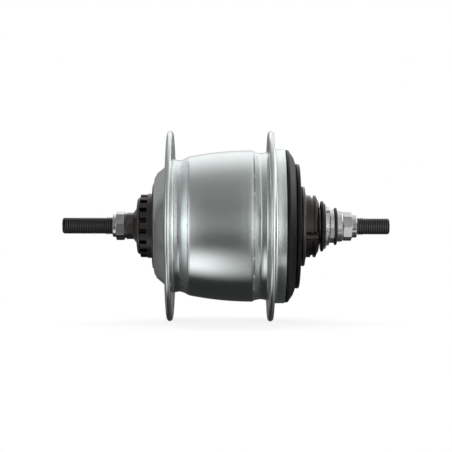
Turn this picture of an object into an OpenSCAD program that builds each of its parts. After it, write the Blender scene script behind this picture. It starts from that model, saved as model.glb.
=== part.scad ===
// Internal gear hub for the rear wheel of a bicycle.
// Every piece is turned or extruded about the hub's own axis, and lay() then lays that axis along Y.
// Along the axis, positive is the drive side, which becomes -Y.
// Profiles are [radius, place along the axis].
// The origin is the middle of the axle.

/* [Axle] */
// Length of the axle
axle_len = 177; // [174:1:186]
// Crest diameter of the axle thread
axle_d = 9.4; // [9.3:0.05:9.5]
// Distance across the two flats of the axle ends
axle_flats = 8.7; // [8.6:0.05:8.8]
// Diameter of the plain middle of the axle, which carries the sun gears
core_d = 12; // [11.8:0.1:12.2]
// Place of the left lock nut's face
left_face = -61.3; // [-63:0.1:-61]
// Place of the right lock nut's face
right_face = 70.8; // [70.6:0.1:72]
// Distance across the eight flats of the lock nuts
nut_flats = 14.5; // [13.5:0.5:15]
// Height of a lock nut between its flats' ends
nut_h = 4.6; // [4:0.1:4.8]
// Diameter of the round boss on a lock nut
nut_boss_d = 12.2; // [11.4:0.2:12.6]
// Height of the boss on the left lock nut
left_boss_h = 1.9; // [1.6:0.1:2.1]
// Height of the boss on the right lock nut
right_boss_h = 2.8; // [2.6:0.1:3.2]

/* [Hub shell] */
// Distance between the middles of the two flanges
flange_gap = 54.3; // [54:0.1:54.6]
// Place of the point midway between the flanges
flange_mid = -3.05; // [-3.2:0.05:-2.9]
// Outer diameter of the flanges
flange_d = 103.2; // [101:0.2:106]
// Thickness of a flange
flange_t = 3.1; // [2.6:0.1:3.3]
// Distance from the middle of a spoke hole to the flange's edge
spoke_edge = 5.3; // [4.4:0.1:5.6]
// Spoke holes in one flange
spokes = 18; // [12:1:20]
// Diameter of a spoke hole
spoke_hole_d = 3; // [2.6:0.1:3.2]
// Largest diameter of the barrel between the flanges
barrel_d = 82; // [81.6:0.2:83]
// Radius of the barrel's long curve
barrel_curve = 174; // [170:2:184]
// Diameter at the floor of the left groove
left_groove_d = 71.2; // [71:0.1:72]
// Diameter at the floor of the right groove
right_groove_d = 79.3; // [79:0.1:80]
// Diameter of the collar outside the right flange
collar_d = 83.6; // [83.2:0.1:85]
// Place of the collar's end face
collar_end = 31.9; // [31.7:0.1:32]
// Diameter of the flat end face on the left
end_face_d = 54.4; // [53:0.2:55]
// Place of the flat end face on the left
end_face = -38.7; // [-38.9:0.1:-38.5]
// Bore of the shell round the roller clutch
clutch_bore_d = 64.8; // [64.4:0.1:65]
// Bore of the shell round the gears
gear_bore_d = 73; // [72.6:0.1:73.4]

/* [Brake spline] */
// Outer diameter of the spline teeth
spline_d = 34.2; // [34:0.1:34.6]
// Number of spline slots
spline_slots = 18; // [12:1:20]
// Width of a spline slot
slot_w = 2.5; // [2:0.1:3]
// Depth of a spline slot
slot_depth = 1.6; // [1:0.1:1.8]
// Length of the slotted part
spline_len = 3.8; // [3:0.1:4.2]
// Length of the plain collar behind the slots
spline_collar_len = 2.8; // [2.4:0.1:3]
// Diameter of that collar
spline_collar_d = 34.9; // [34.8:0.1:36]
// Diameter of the spline ring's thin flange
spline_flange_d = 46; // [44:0.2:48]
// Thickness of the spline ring's thin flange
spline_flange_t = 0.8; // [0.6:0.1:0.9]

/* [Driver] */
// Diameter of the seat that the sprocket slides on
sprocket_seat_d = 33.7; // [33.4:0.1:34.2]
// Length of the sprocket seat
sprocket_seat_len = 2.6; // [2.4:0.1:2.8]
// Diameter at the floor of the snap ring groove
snap_groove_d = 31.4; // [31:0.1:32]
// Width of the snap ring groove
snap_groove_w = 1.6; // [1.4:0.1:1.8]
// Width of one of the three sprocket lug notches
lug_w = 4.8; // [4:0.2:5.4]
// Outer diameter of the large dust cap
cap_d = 82.8; // [82.4:0.1:83.2]
// Outer diameter of the small dust cap
small_cap_d = 67.5; // [66:0.5:68]
// Radial width of the ring behind the sprocket
back_ring_width = 3.1; // [2.4:0.1:3.4]
// Thickness of the ring behind the sprocket
back_ring_t = 1.7; // [1.4:0.1:1.9]

/* [Gears] */
// Gear module
tooth_size = 0.9; // [0.895:0.005:0.905]
// Gap between meshing tooth flanks
flank_gap = 0.08; // [0.07:0.01:0.1]
// Teeth of the reduction sun gear
slow_sun = 30; // [27:3:30]
// Teeth of the large step of a reduction planet
slow_large = 24; // [21:1:24]
// Teeth of the largest sun gear of the overdrive stage, locked in fourth gear
top_sun = 31; // [30:1:32]
// Teeth of the middle sun gear of the overdrive stage
middle_sun = 27; // [26:1:28]
// Teeth of the smallest sun gear of the overdrive stage
low_sun = 20; // [19:1:21]
// Diameter of the planet pins
pin_d = 5; // [4.6:0.1:5]

/* [Bearings and clutches] */
// Diameter of the balls of the left bearing and the driver bearing
ball_d = 4.76; // [4.7:0.02:4.78]
// Diameter of the balls of the large drive side bearing
rim_ball_d = 3.96; // [3.9:0.02:3.98]
// Balls in the left bearing and in the driver bearing
balls = 9; // [7:1:10]
// Balls in the large drive side bearing
rim_balls = 24; // [16:1:28]
// Diameter of a clutch roller
roller_d = 4; // [3.9:0.02:4.04]
// Rollers in the clutch
rollers = 9; // [7:1:9]
// Ratchet teeth inside the shell
ratchet_teeth = 18; // [15:3:21]

/* [Shifter] */
// Diameter of the base of the castellated actuator ring
actuator_d = 24.8; // [24:0.2:25.4]
// Diameter of the notched part of the actuator ring
actuator_notched_d = 20.8; // [20:0.2:21.2]
// Diameter of the stop nut
stop_nut_d = 18; // [17.6:0.2:18.4]
// Distance across the flats of the stop nut
stop_nut_flats = 17; // [16:0.5:17]
// Diameter of the spacer collar
spacer_d = 16.6; // [15.6:0.2:17]
// Angle that each control arm may swing through
arm_swing = 80; // [60:5:90]

/* [Hidden] */
$fn = 96;

// Clearances: of a fixed seat, of a turning fit, beside a ball, and between parts that turn past each other
seat = 0.03;
running = 0.09;
ball_room = 0.12;
past = 0.5;
cut = 1;

module lay() rotate([90, 0, 0]) children();
module turned(points) rotate_extrude() polygon(points);
module ring(inner_r, outer_r, from, to)
    turned([[inner_r, from], [outer_r, from], [outer_r, to], [inner_r, to]]);
module rod(r, from, to) translate([0, 0, from]) cylinder(r = r, h = to - from);
module prism(from, to) translate([0, 0, from]) linear_extrude(to - from) children();
module around(count, first = 0) for (k = [0 : count - 1]) rotate(first + 360 / count * k) children();
module block(x, y, from, to, out = 0) translate([out, -y / 2, from]) cube([x, y, to - from]);
function arc(x, y, r, from, to, steps) =
    [for (i = [0 : steps]) let (t = from + (to - from) * i / steps) [x + r * cos(t), y + r * sin(t)]];
function polar(r, a) = r * [cos(a), sin(a)];

// Radii of the axle
thread_r = axle_d / 2;
on_thread = thread_r + seat;
core_r = core_d / 2;
on_core = core_r + seat;
core_running = core_r + running;

// Gear teeth: an involute outline of straight stretches
pressure = 25;
addendum = 0.9 * tooth_size;
dedendum = 1.15 * tooth_size;
flank_steps = 3;
function pitch_r(teeth) = teeth * tooth_size / 2;
function tip_r(teeth) = pitch_r(teeth) + addendum;
function root_r(teeth) = pitch_r(teeth) - dedendum;
function base_r(teeth) = pitch_r(teeth) * cos(pressure);
function involute(a) = tan(a) * 180 / PI - a;
function half_tooth(teeth, r, thinner) =
    90 / teeth - thinner / pitch_r(teeth) * 180 / PI + involute(pressure)
    - involute(acos(min(1, base_r(teeth) / r)));
function flank(teeth, root, tip, thinner) =
    let (low = max(root, base_r(teeth)))
    [if (root < low) [root, half_tooth(teeth, low, thinner)],
     for (i = [0 : flank_steps])
        let (r = low + (tip - low) * i / flank_steps) [r, half_tooth(teeth, r, thinner)]];
function toothed(teeth, root, tip, thinner) =
    let (side = flank(teeth, root, tip, thinner), last = len(side) - 1)
    [for (t = [0 : teeth - 1], j = [0 : 2 * last + 1])
        let (p = side[min(j, 2 * last + 1 - j)]) polar(p[0], 360 / teeth * t + (j <= last ? -p[1] : p[1]))];
module gear(teeth, plane, turn = 0)
    rotate(turn) prism(plane[0], plane[1]) polygon(toothed(teeth, root_r(teeth), tip_r(teeth), flank_gap / 2));
module ring_spaces(teeth, plane, turn)
    rotate(turn) prism(plane[0], plane[1])
        polygon(toothed(teeth, pitch_r(teeth) - addendum, pitch_r(teeth) + dedendum, -flank_gap / 2));

// Tooth counts and centre distances that follow from the driving counts
overdrive_sum = 45;
slow_small = 12;
top_step = overdrive_sum - top_sun;
middle_step = overdrive_sum - middle_sun;
low_step = overdrive_sum - low_sun;
overdrive_ring = overdrive_sum + middle_step;
reduction_ring = slow_sun + slow_small + slow_large;
overdrive_reach = pitch_r(overdrive_sum);
reduction_reach = pitch_r(slow_sun + slow_small);

// Three planets stand round the axle, each with a tooth of every step at 0 degrees.
// A sun gear or a ring gear is turned by the angle at which it then meshes with all three.
planets = 3;
first_planet = 90;
web_angle = first_planet + 180 / planets;
function sun_turn(teeth, step) = first_planet - (180 - step * (first_planet + 180)) / teeth;
function ring_turn(teeth, step) = first_planet * (1 - step / teeth);
module at_planets(reach) around(planets, first_planet) translate([reach, 0, 0]) children();
module at_planet(k, reach)
    translate(concat(polar(reach, first_planet + 360 / planets * (k - 1)), 0)) children();

// Places of the gear planes, from left to right: [start, end]
step_gap = 0.6;
top_plane = [-18, -13];
middle_plane = [top_plane[1] + step_gap, -5.4];
low_plane = [middle_plane[1] + step_gap, 0.7];
slow_small_plane = [7.8, 12.5];
slow_large_plane = [slow_small_plane[1] + step_gap, 20.1];

// Places of the carrier's plates
left_plate = [-22.2, top_plane[0] - step_gap];
middle_plate = [low_plane[1] + past, slow_small_plane[0] - past];
right_plate = [slow_large_plane[1] + past, 24];

// Ball paths: [radius, place along the axis]
left_path = [11.2, -41];
driver_path = [10.6, 45];
ring_wall = 2.6;
reduction_ring_r = pitch_r(reduction_ring) + dedendum + ring_wall;
rim_path = [reduction_ring_r + 1.55, 27.4];
race_r = ball_d / 2 + ball_room;
rim_race_r = rim_ball_d / 2 + ball_room;
module race(path, r) translate(path) circle(r);
module ball_set(path, r, count) around(count) translate([path[0], 0, path[1]]) sphere(r);
// A retainer is a flat ring beside the balls, with a finger between each two balls
module retainer(path, r, count, ring_at, out_in) {
    side = sign(ring_at - path[1]);
    ring_t = 0.6;
    ring(path[0] - out_in[0], path[0] + out_in[1], ring_at - ring_t / 2, ring_at + ring_t / 2);
    around(count, 180 / count)
        translate([path[0] - 0.6, -0.6, side > 0 ? path[1] - r / 2 : ring_at])
            cube([1.2, 1.2, abs(ring_at - path[1]) + r / 2]);
}

// The axle and what is fixed on it
core_from = -37;
core_to = 27;
flats_len = [23.5, 14.3];
groove_d = core_d - 1.2;
snap_places = [-25.4, right_plate[1] + past];
snap_t = 1;
arm_w = 30;
arm_floor = 3.6;
arm_to = 56;
pawl_w = 2.4;
pawl_len = 3.6;
pawl_places = [for (p = [top_plane, middle_plane, low_plane]) (p[0] + p[1]) / 2];
chamfer = 1;
module arm_grooves() {
    half = arm_w / 2 + arm_swing / 2 + 2;
    for (turn = [90, 270]) rotate(turn) prism(core_to + cut, arm_to + cut / 2)
        polygon([for (a = [-half : half / 4 : half]) polar(arm_floor, a),
            for (a = [half : -half / 2 : -half]) polar(core_r, a)]);
}
module axle() color([0.13, 0.13, 0.14]) lay() difference() {
    half = axle_len / 2;
    turned([[0, -half], [thread_r - chamfer, -half], [thread_r, chamfer - half], [thread_r, core_from],
        [core_r, core_from], [core_r, core_to], [thread_r, core_to], [thread_r, half - chamfer],
        [thread_r - chamfer, half], [0, half]]);
    for (side = [-1, 1]) {
        translate([-core_r, side > 0 ? axle_flats / 2 : -axle_flats / 2 - core_r, -half - cut])
            cube([core_d, core_r, flats_len[0] + cut]);
        translate([-core_r, side > 0 ? axle_flats / 2 : -axle_flats / 2 - core_r, half - flats_len[1]])
            cube([core_d, core_r, flats_len[1] + cut]);
    }
    for (p = snap_places) ring(groove_d / 2, core_r + cut, p, p + snap_t);
    for (p = pawl_places) block(core_r, pawl_w, p - pawl_len / 2, p + pawl_len / 2, groove_d / 2 - 1.6);
    arm_grooves();
}
nut_sides = 8;
nut_corner_r = nut_flats / 2 / cos(180 / nut_sides);
nut_bevel = 0.45;
nut_bevel_r = nut_flats / 2 - 0.1;
nut_bevel_out = nut_corner_r + 0.5;
boss_root = 1;
module flatted_nut(from, to, boss_to, turn) {
    low = min(from, to);
    high = max(from, to);
    difference() {
        union() {
            intersection() {
                rotate(turn) prism(low, high) circle(nut_corner_r, $fn = nut_sides);
                turned([[0, low], [nut_bevel_r, low], [nut_bevel_out, low + nut_bevel],
                    [nut_bevel_out, high - nut_bevel], [nut_bevel_r, high], [0, high]]);
            }
            rod(nut_boss_d / 2, min(low + boss_root, boss_to), max(high - boss_root, boss_to));
        }
        rod(on_thread, min(low, boss_to) - cut, max(high, boss_to) + cut);
    }
}
left_nut_from = left_face + left_boss_h;
left_nut_to = left_nut_from + nut_h;
right_nut_from = right_face - right_boss_h;
right_nut_to = right_nut_from - nut_h;
module left_lock_nut() color([0.62, 0.62, 0.6]) lay()
    flatted_nut(left_nut_from, left_nut_to, left_face, -8.2);
module right_lock_nut() color([0.8, 0.8, 0.79]) lay()
    flatted_nut(right_nut_from, right_nut_to, right_face, 2.4);

// Left cone, its washer and its dust cap
cone_face = left_nut_to + 0.9;
wrench_r = 7.36;
wrench_to = cone_face + 3.8;
shoulder = -47.6;
cone_r = 9.4;
cone_neck_r = 6.7;
cone_relief = 0.4;
cone_end = left_path[1] + 2.2;
module left_lock_washer() color([0.35, 0.33, 0.32]) lay()
    ring(on_thread, cone_neck_r - 0.1, left_nut_to, cone_face);
module left_cone() color([0.24, 0.19, 0.18]) lay() difference() {
    union() {
        rotate(-11.5) prism(cone_face, wrench_to) circle(wrench_r, $fn = 8);
        rotate_extrude() difference() {
            polygon([[on_thread, wrench_to - cut], [cone_neck_r, wrench_to - cut], [cone_neck_r, shoulder],
                [cone_r, shoulder], [cone_r, left_path[1]], [cone_r - cone_relief, left_path[1]],
                [cone_r - cone_relief, cone_end], [on_thread, cone_end]]);
            race(left_path, race_r);
        }
    }
    rod(on_thread, cone_face - cut, wrench_to + cut);
}
spline_from = end_face - spline_flange_t - spline_collar_len - spline_len;
left_cap_r = 15.4;
left_cap_wall = 0.8;
left_cap_end = spline_from - 0.2;
left_cap_back = shoulder - seat;
module left_dust_cap() color([0.1, 0.1, 0.11]) lay() turned([[cone_neck_r + seat, wrench_to],
    [cone_neck_r + 0.5, wrench_to], [cone_r, wrench_to + 1.6], [left_cap_r - 1, left_cap_back - 0.2],
    [left_cap_r, left_cap_back + 0.6], [left_cap_r, left_cap_end],
    [left_cap_r - left_cap_wall, left_cap_end], [left_cap_r - 1.2, left_cap_back + 0.8],
    [cone_r + 0.8, left_cap_back], [cone_neck_r + seat, left_cap_back]]);

// Right cone, and the stack outside it
right_cone_from = driver_path[1] - 1.5;
right_cone_r = 9;
neck_r = 7.5;
neck_from = driver_path[1] + 6.2;
neck_to = neck_from + 1.9;
module right_cone() color([0.55, 0.54, 0.52]) lay() rotate_extrude() difference() {
    polygon([[on_thread, right_cone_from], [right_cone_r - 0.5, right_cone_from],
        [right_cone_r - 0.5, driver_path[1]], [right_cone_r, driver_path[1]], [right_cone_r, neck_from],
        [neck_r, neck_from], [neck_r, neck_to], [on_thread, neck_to]]);
    race(driver_path, race_r);
}
disc_from = neck_from + 0.1;
disc_t = 1;
bead = [12.3, 13.75];
module driver_dust_disc() color([0.08, 0.08, 0.09]) lay() turned([[neck_r + seat, disc_from],
    [bead[0], disc_from], [bead[0] + 0.4, disc_from - 0.2], [bead[1] - 0.25, disc_from - 0.2],
    [bead[1], disc_from + 0.1],
    [bead[1], disc_from + 1.3], [bead[1] - 0.35, disc_from + 1.6], [bead[0] + 0.3, disc_from + 1.6],
    [bead[0], disc_from + disc_t], [neck_r + seat, disc_from + disc_t]]);
stop_nut_from = 56.1;
stop_nut_step = stop_nut_from + 2.4;
stop_nut_to = stop_nut_step + 1.55;
stop_nut_turn = 26.4;
lip_r = 8.6;
module stop_nut() color([0.78, 0.78, 0.77]) lay() difference() {
    union() {
        intersection() {
            turned([[0, stop_nut_from], [stop_nut_d / 2 - 0.3, stop_nut_from], [stop_nut_d / 2, stop_nut_from + 0.3],
                [stop_nut_d / 2, stop_nut_step], [0, stop_nut_step]]);
            rotate(stop_nut_turn) translate([-stop_nut_flats / 2, -stop_nut_d, stop_nut_from - cut])
                cube([stop_nut_flats, 2 * stop_nut_d, stop_nut_step - stop_nut_from + 2 * cut]);
        }
        rod(lip_r, stop_nut_step, stop_nut_to);
    }
    rod(on_thread, stop_nut_from - cut, stop_nut_to + cut);
}
wire_r = lip_r + 1.6;
wire_round = 0.3;
wire_from = stop_nut_step + 0.1;
wire_to = wire_from + 1.4;
module retaining_ring() color([0.08, 0.08, 0.09]) lay() turned([[lip_r + seat, wire_from],
    [wire_r - wire_round, wire_from], [wire_r, wire_from + wire_round], [wire_r, wire_to - wire_round],
    [wire_r - wire_round, wire_to], [lip_r + seat, wire_to]]);
spacer_from = stop_nut_to + 0.05;
spacer_to = right_nut_to - 0.1;
spacer_round = 0.6;
module spacer_collar() color([0.8, 0.8, 0.79]) lay() turned([[on_thread, spacer_from],
    [spacer_d / 2, spacer_from], [spacer_d / 2, spacer_to - spacer_round],
    [spacer_d / 2 - spacer_round, spacer_to], [on_thread, spacer_to]]);

// Sun gears, and the pawls that lock them. The top sun's pawl stands in a notch, the others lie low.
sun_seat = 0.05;
pawl_lift = 0.7;
module sun_notch(plane) block(core_r + pawl_lift + 0.15, pawl_w + 0.3, plane[0] - cut, plane[1] + cut);
module sun_gear_top() color([0.6, 0.6, 0.58]) lay() difference() {
    gear(top_sun, top_plane, sun_turn(top_sun, top_step));
    rod(core_r + sun_seat, top_plane[0] - cut, top_plane[1] + cut);
    sun_notch(top_plane);
}
module sun_gear_reduction() color([0.6, 0.6, 0.58]) lay() difference() {
    gear(slow_sun, slow_small_plane, sun_turn(slow_sun, slow_small));
    rod(core_r + sun_seat, slow_small_plane[0] - cut, slow_small_plane[1] + cut);
}
module free_sun(teeth, step, plane) color([0.58, 0.58, 0.56]) lay() difference() {
    gear(teeth, plane, sun_turn(teeth, step));
    rod(core_running, plane[0] - cut, plane[1] + cut);
    around(6) sun_notch(plane);
}
module sun_gear_middle() free_sun(middle_sun, middle_step, middle_plane);
module sun_gear_low() free_sun(low_sun, low_step, low_plane);
module sun_pawls() color([0.4, 0.4, 0.42]) lay() for (k = [0 : 2]) {
    half = pawl_len / 2 - seat;
    lift = k == 0 ? pawl_lift : -0.2;
    block(1.8, pawl_w - 2 * seat, pawl_places[k] - half, pawl_places[k] + half, core_r + lift - 1.8);
}
module axle_snap_rings() color([0.3, 0.3, 0.32]) lay() for (p = snap_places) difference() {
    ring(groove_d / 2 + seat, core_r + 1.5, p + seat, p + snap_t - seat);
    rotate(200) block(core_d, 2.5, p - cut, p + snap_t + cut);
}

// Return spring of the shifter: one wire wound round the axle
spring_r = 6.6;
spring_wire = 1.1;
spring_turns = 4;
spring_from = 34.4;
spring_pitch = 1.35;
module return_spring() color([0.45, 0.45, 0.47]) lay() {
    sides = 6;
    steps = 10 * spring_turns;
    points = [for (i = [0 : steps], j = [0 : sides - 1])
        let (a = 360 * spring_turns * i / steps, b = 360 / sides * j, r = spring_r + spring_wire / 2 * cos(b))
        concat(polar(r, a), spring_from + spring_pitch * spring_turns * i / steps + spring_wire / 2 * sin(b))];
    faces = concat([[for (j = [0 : sides - 1]) j]], [[for (j = [sides - 1 : -1 : 0]) steps * sides + j]],
        [for (i = [0 : steps - 1], j = [0 : sides - 1], half = [0, 1])
            let (k = (j + 1) % sides, a = i * sides, b = a + sides)
            half == 0 ? [a + j, b + j, a + k] : [a + k, b + j, b + k]]);
    polyhedron(points, faces);
}

// Shifter: the castellated ring outside, the arms in the axle's grooves and the cam ring inside
actuator_plane = [53.4, 55.8];
cam_plane = [28, 33];
arm_r = [arm_floor + 0.12, thread_r - 0.15];
hub_ring_r = 7;
module arm_shape(outer_r, more = 0) {
    half = arm_w / 2 + more * 10;
    polygon([for (a = [-half : half / 2 : half]) polar(arm_r[0], a), for (a = [half : -half / 2 : -half])
        polar(outer_r + more, a)]);
}
module two_arms(from, to, outer_r, more = 0)
    for (turn = [90, 270]) rotate(turn) prism(from, to) arm_shape(outer_r, more);
module control_arms() color([0.6, 0.6, 0.6]) lay() {
    two_arms(cam_plane[0] + past, actuator_plane[1], arm_r[1]);
    two_arms(cam_plane[0] + past, cam_plane[1], arm_r[1] + 0.8);
    two_arms(actuator_plane[0], actuator_plane[1], arm_r[1] + 0.8);
    ring(thread_r + running, hub_ring_r, actuator_plane[0], actuator_plane[1]);
}
module cam_ring() color([0.5, 0.5, 0.52]) lay() difference() {
    prism(cam_plane[0], cam_plane[1])
        polygon([for (a = [0 : 5 : 355]) polar(8.2 + 0.5 * cos(3 * a), a)]);
    rod(thread_r + running, cam_plane[0] - cut, cam_plane[1] + cut);
    two_arms(cam_plane[0] - cut, cam_plane[1] + cut, arm_r[1] + 0.8, 2 * seat);
}
module actuator_ring() color([0.82, 0.82, 0.81]) lay() difference() {
    turned([[hub_ring_r + seat, actuator_plane[0]], [actuator_d / 2, actuator_plane[0]],
        [actuator_d / 2, actuator_plane[0] + 0.4], [actuator_notched_d / 2 + 0.5, actuator_plane[0] + 0.9],
        [actuator_notched_d / 2, actuator_plane[0] + 1.3], [actuator_notched_d / 2, actuator_plane[1] - 0.2],
        [actuator_notched_d / 2 - 0.2, actuator_plane[1]], [hub_ring_r + seat, actuator_plane[1]]]);
    around(6, 192) block(actuator_d, 2.2, actuator_plane[0] + 1.1, actuator_plane[1] + cut, 8.9);
}

// Driver, which the sprocket turns, with the reduction stage's ring gear and the dust caps on it
seat_from = 43;
seat_to = seat_from + sprocket_seat_len;
lip_from = seat_to + snap_groove_w;
lip_to = lip_from + 1.4;
driver_end = 50;
driver_flange = [25.4, 30.9];
neck_bore_r = 9.4;
race_back = driver_path[1] - race_r - 1.8;
cup_bore_r = 12.9;
cap_seat_r = 18.5;
back_ring_r = cap_seat_r + back_ring_width;
back_ring_to = seat_from - 0.5;
back_ring_from = back_ring_to - back_ring_t;
back_ring_round = 0.3;
seal_to = driver_end - 0.2;
seal_lip_r = right_cone_r + 0.25;
module lug_notches(r, from, to) around(3, 180 + 18.4) translate([r, 0, from]) cylinder(d = lug_w, h = to - from);
module driver() color([0.26, 0.2, 0.19]) lay() difference() {
    rotate_extrude() difference() {
        polygon([[12.6, driver_flange[0]], [reduction_ring_r - ring_wall, driver_flange[0]],
            [reduction_ring_r - ring_wall, driver_flange[1]], [cap_seat_r + 2, driver_flange[1]],
            [cap_seat_r, driver_flange[1] + 2], [cap_seat_r, seat_from], [sprocket_seat_d / 2, seat_from],
            [sprocket_seat_d / 2, seat_to], [snap_groove_d / 2, seat_to], [snap_groove_d / 2, lip_from],
            [sprocket_seat_d / 2, lip_from], [sprocket_seat_d / 2, lip_to], [sprocket_seat_d / 2 - 0.6, lip_to],
            [13.6, driver_end], [cup_bore_r, driver_end], [cup_bore_r, driver_path[1]],
            [neck_bore_r, driver_path[1]], [neck_bore_r, race_back], [12.6, race_back]]);
        race(driver_path, race_r);
    }
    lug_notches(sprocket_seat_d / 2 + 0.6, seat_from - 0.2, driver_end + cut);
}
module driver_seal() color([0.1, 0.1, 0.1]) lay() turned([[cup_bore_r - seat, seal_to - 1.2],
    [cup_bore_r - seat, seal_to], [seal_lip_r + 0.95, seal_to], [seal_lip_r, seal_to - 0.4],
    [seal_lip_r, seal_to - 0.8], [seal_lip_r + 1.15, seal_to - 0.9]]);
module driver_back_ring() color([0.2, 0.16, 0.15]) lay() turned([[cap_seat_r + seat, back_ring_from],
    [back_ring_r - back_ring_round, back_ring_from], [back_ring_r, back_ring_from + back_ring_round],
    [back_ring_r, back_ring_to - back_ring_round], [back_ring_r - back_ring_round, back_ring_to],
    [cap_seat_r + seat, back_ring_to]]);
module ring_gear_reduction() color([0.55, 0.54, 0.52]) lay() difference() {
    rotate_extrude() difference() {
        polygon([[pitch_r(reduction_ring) - addendum - 1, slow_large_plane[0] - step_gap],
            [reduction_ring_r, slow_large_plane[0] - step_gap], [reduction_ring_r, driver_flange[1] + 0.2],
            [reduction_ring_r - ring_wall + seat, driver_flange[1] + 0.2],
            [reduction_ring_r - ring_wall + seat, slow_large_plane[1] + 0.2],
            [pitch_r(reduction_ring) - addendum - 1, slow_large_plane[1] + 0.2]]);
        race(rim_path, rim_race_r);
    }
    ring_spaces(reduction_ring, [slow_large_plane[0] - step_gap - cut, slow_large_plane[1] + cut],
        ring_turn(reduction_ring, slow_large));
}

// Dust caps: the large one dips in steps towards the axle, the small one covers its middle
cap_wall = 1;
cap_from = collar_end + 0.3;
cap_r = cap_d / 2;
cap_rise = 4.8;
cap_bulge = [[0, 0], [0, 1], [-0.55, 1.6], [-1.5, 2.1], [-2.3, 2.7], [-3.8, 3.8], [-6.4, cap_rise]];
module dust_cap_large() color([0.11, 0.11, 0.12]) lay() turned([
    for (p = cap_bulge) [cap_r + p[0], cap_from + p[1]],
    [cap_seat_r + seat, cap_from + cap_rise], [cap_seat_r + seat, cap_from + cap_rise - cap_wall],
    for (i = [len(cap_bulge) - 1 : -1 : 0])
        [cap_r + cap_bulge[i][0] - cap_wall, cap_from + max(0, cap_bulge[i][1] - cap_wall)]]);
small_cap_r = small_cap_d / 2;
small_cap_from = cap_from + cap_rise + 0.6;
small_cap_to = small_cap_from + 1.9;
module dust_cap_small() color([0.14, 0.13, 0.13]) lay() turned([[small_cap_r - 1.2, small_cap_from],
    [small_cap_r, small_cap_from], [small_cap_r, small_cap_to - 0.5], [small_cap_r - 0.5, small_cap_to],
    [cap_seat_r + seat, small_cap_to], [cap_seat_r + seat, small_cap_from + 0.6],
    [small_cap_r - 1.2, small_cap_from + 0.6]]);

// Ball bearings
module driver_balls() color([0.85, 0.85, 0.86]) lay() ball_set(driver_path, ball_d / 2, balls);
module driver_ball_retainer() color([0.6, 0.58, 0.5]) lay()
    retainer(driver_path, ball_d / 2, balls, driver_path[1] + race_r + 0.4, [1.1, 1.9]);
module left_balls() color([0.85, 0.85, 0.86]) lay() ball_set(left_path, ball_d / 2, balls);
module left_ball_retainer() color([0.6, 0.58, 0.5]) lay()
    retainer(left_path, ball_d / 2, balls, left_path[1] - race_r - 0.4, [1.3, 1.8]);
module right_balls() color([0.85, 0.85, 0.86]) lay() ball_set(rim_path, rim_ball_d / 2, rim_balls);
module right_ball_retainer() color([0.6, 0.58, 0.5]) lay()
    retainer(rim_path, rim_ball_d / 2, rim_balls, rim_path[1] + rim_race_r + 0.4, [1.0, 1.5]);

// Planet carrier: a left plate with the roller clutch's cam, a body with webs, and a right plate
race_wall = 3.4;
clutch_r = clutch_bore_d / 2 - race_wall;
roller_reach = clutch_r - ball_room - roller_d / 2;
ramp_low = roller_reach - roller_d / 2 + 0.4;
ramp_high = ramp_low + 1.3;
cam_from = -30.6;
cam_to = left_plate[0];
carrier_r = 28.2;
web_inner = 16.2;
web_outer = 26.7;
web_room = 0.6;
screw_reach = 21.6;
screw_r = 1.5;
module cam_outline()
    polygon([for (k = [0 : rollers - 1], end = [0, 1])
        polar(end == 0 ? ramp_low : ramp_high, 360 / rollers * k - 6 + end * (360 / rollers - 4))]);
module webs(from, to, inner_r, outer_r, reach, planet_r) difference() {
    ring(inner_r, outer_r, from, to);
    at_planets(reach) rod(planet_r + web_room, from - cut, to + cut);
}
module at_screws() around(planets, web_angle) translate([screw_reach, 0, 0]) children();
module carrier_left_plate() color([0.5, 0.49, 0.47]) lay() difference() {
    union() {
        prism(cam_from, cam_to) cam_outline();
        rod(carrier_r, left_plate[0], left_plate[1]);
    }
    rod(14, cam_from - cut, -24);
    rod(core_running, cam_from, left_plate[1] + cut);
    at_planets(overdrive_reach) rod(pin_d / 2 + seat, left_plate[0] - cut, left_plate[1] + cut);
    at_planets(overdrive_reach) rod(pin_d / 2 + 1, cam_from - cut, left_plate[0]);
    at_screws() rod(screw_r + seat, left_plate[0] - cut, left_plate[1] + cut);
    at_screws() rod(2 * screw_r, cam_from - cut, left_plate[0]);
}
module carrier_body() color([0.5, 0.49, 0.47]) lay() difference() {
    union() {
        webs(left_plate[1], middle_plate[0] + cut, web_inner, web_outer, overdrive_reach, tip_r(low_step));
        rod(carrier_r, middle_plate[0], middle_plate[1]);
        webs(middle_plate[1] - cut, right_plate[0], tip_r(slow_sun) + web_room, 28, reduction_reach,
            tip_r(slow_large));
    }
    rod(core_running, middle_plate[0] - cut, middle_plate[1] + cut);
    at_planets(overdrive_reach) rod(pin_d / 2 + seat, middle_plate[0] - cut, middle_plate[0] + 2.8);
    at_planets(reduction_reach) rod(pin_d / 2 + seat, middle_plate[1] - 2.8, middle_plate[1] + cut);
    at_screws() rod(screw_r + seat, left_plate[1] - cut, left_plate[1] + 8);
    at_screws() rod(screw_r + seat, right_plate[0] - 8, right_plate[0] + cut);
}
module carrier_right_plate() color([0.5, 0.49, 0.47]) lay() difference() {
    rod(carrier_r, right_plate[0], right_plate[1]);
    rod(core_running, right_plate[0] - cut, right_plate[1] + cut);
    at_planets(reduction_reach) rod(pin_d / 2 + seat, right_plate[0] - cut, right_plate[1] + cut);
    at_screws() rod(screw_r + seat, right_plate[0] - cut, right_plate[1] + cut);
}
module carrier_screws() color([0.3, 0.3, 0.31]) lay() at_screws() {
    rod(screw_r, left_plate[0], left_plate[1] + 7);
    rod(1.8 * screw_r, left_plate[0] - 1.6, left_plate[0]);
    rod(screw_r, right_plate[0] - 7, right_plate[1]);
    rod(1.8 * screw_r, right_plate[1], right_plate[1] + 1.2);
}
module overdrive_planet_pins() color([0.7, 0.7, 0.7]) lay()
    at_planets(overdrive_reach) rod(pin_d / 2, left_plate[0], middle_plate[0] + 2.6);
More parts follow.
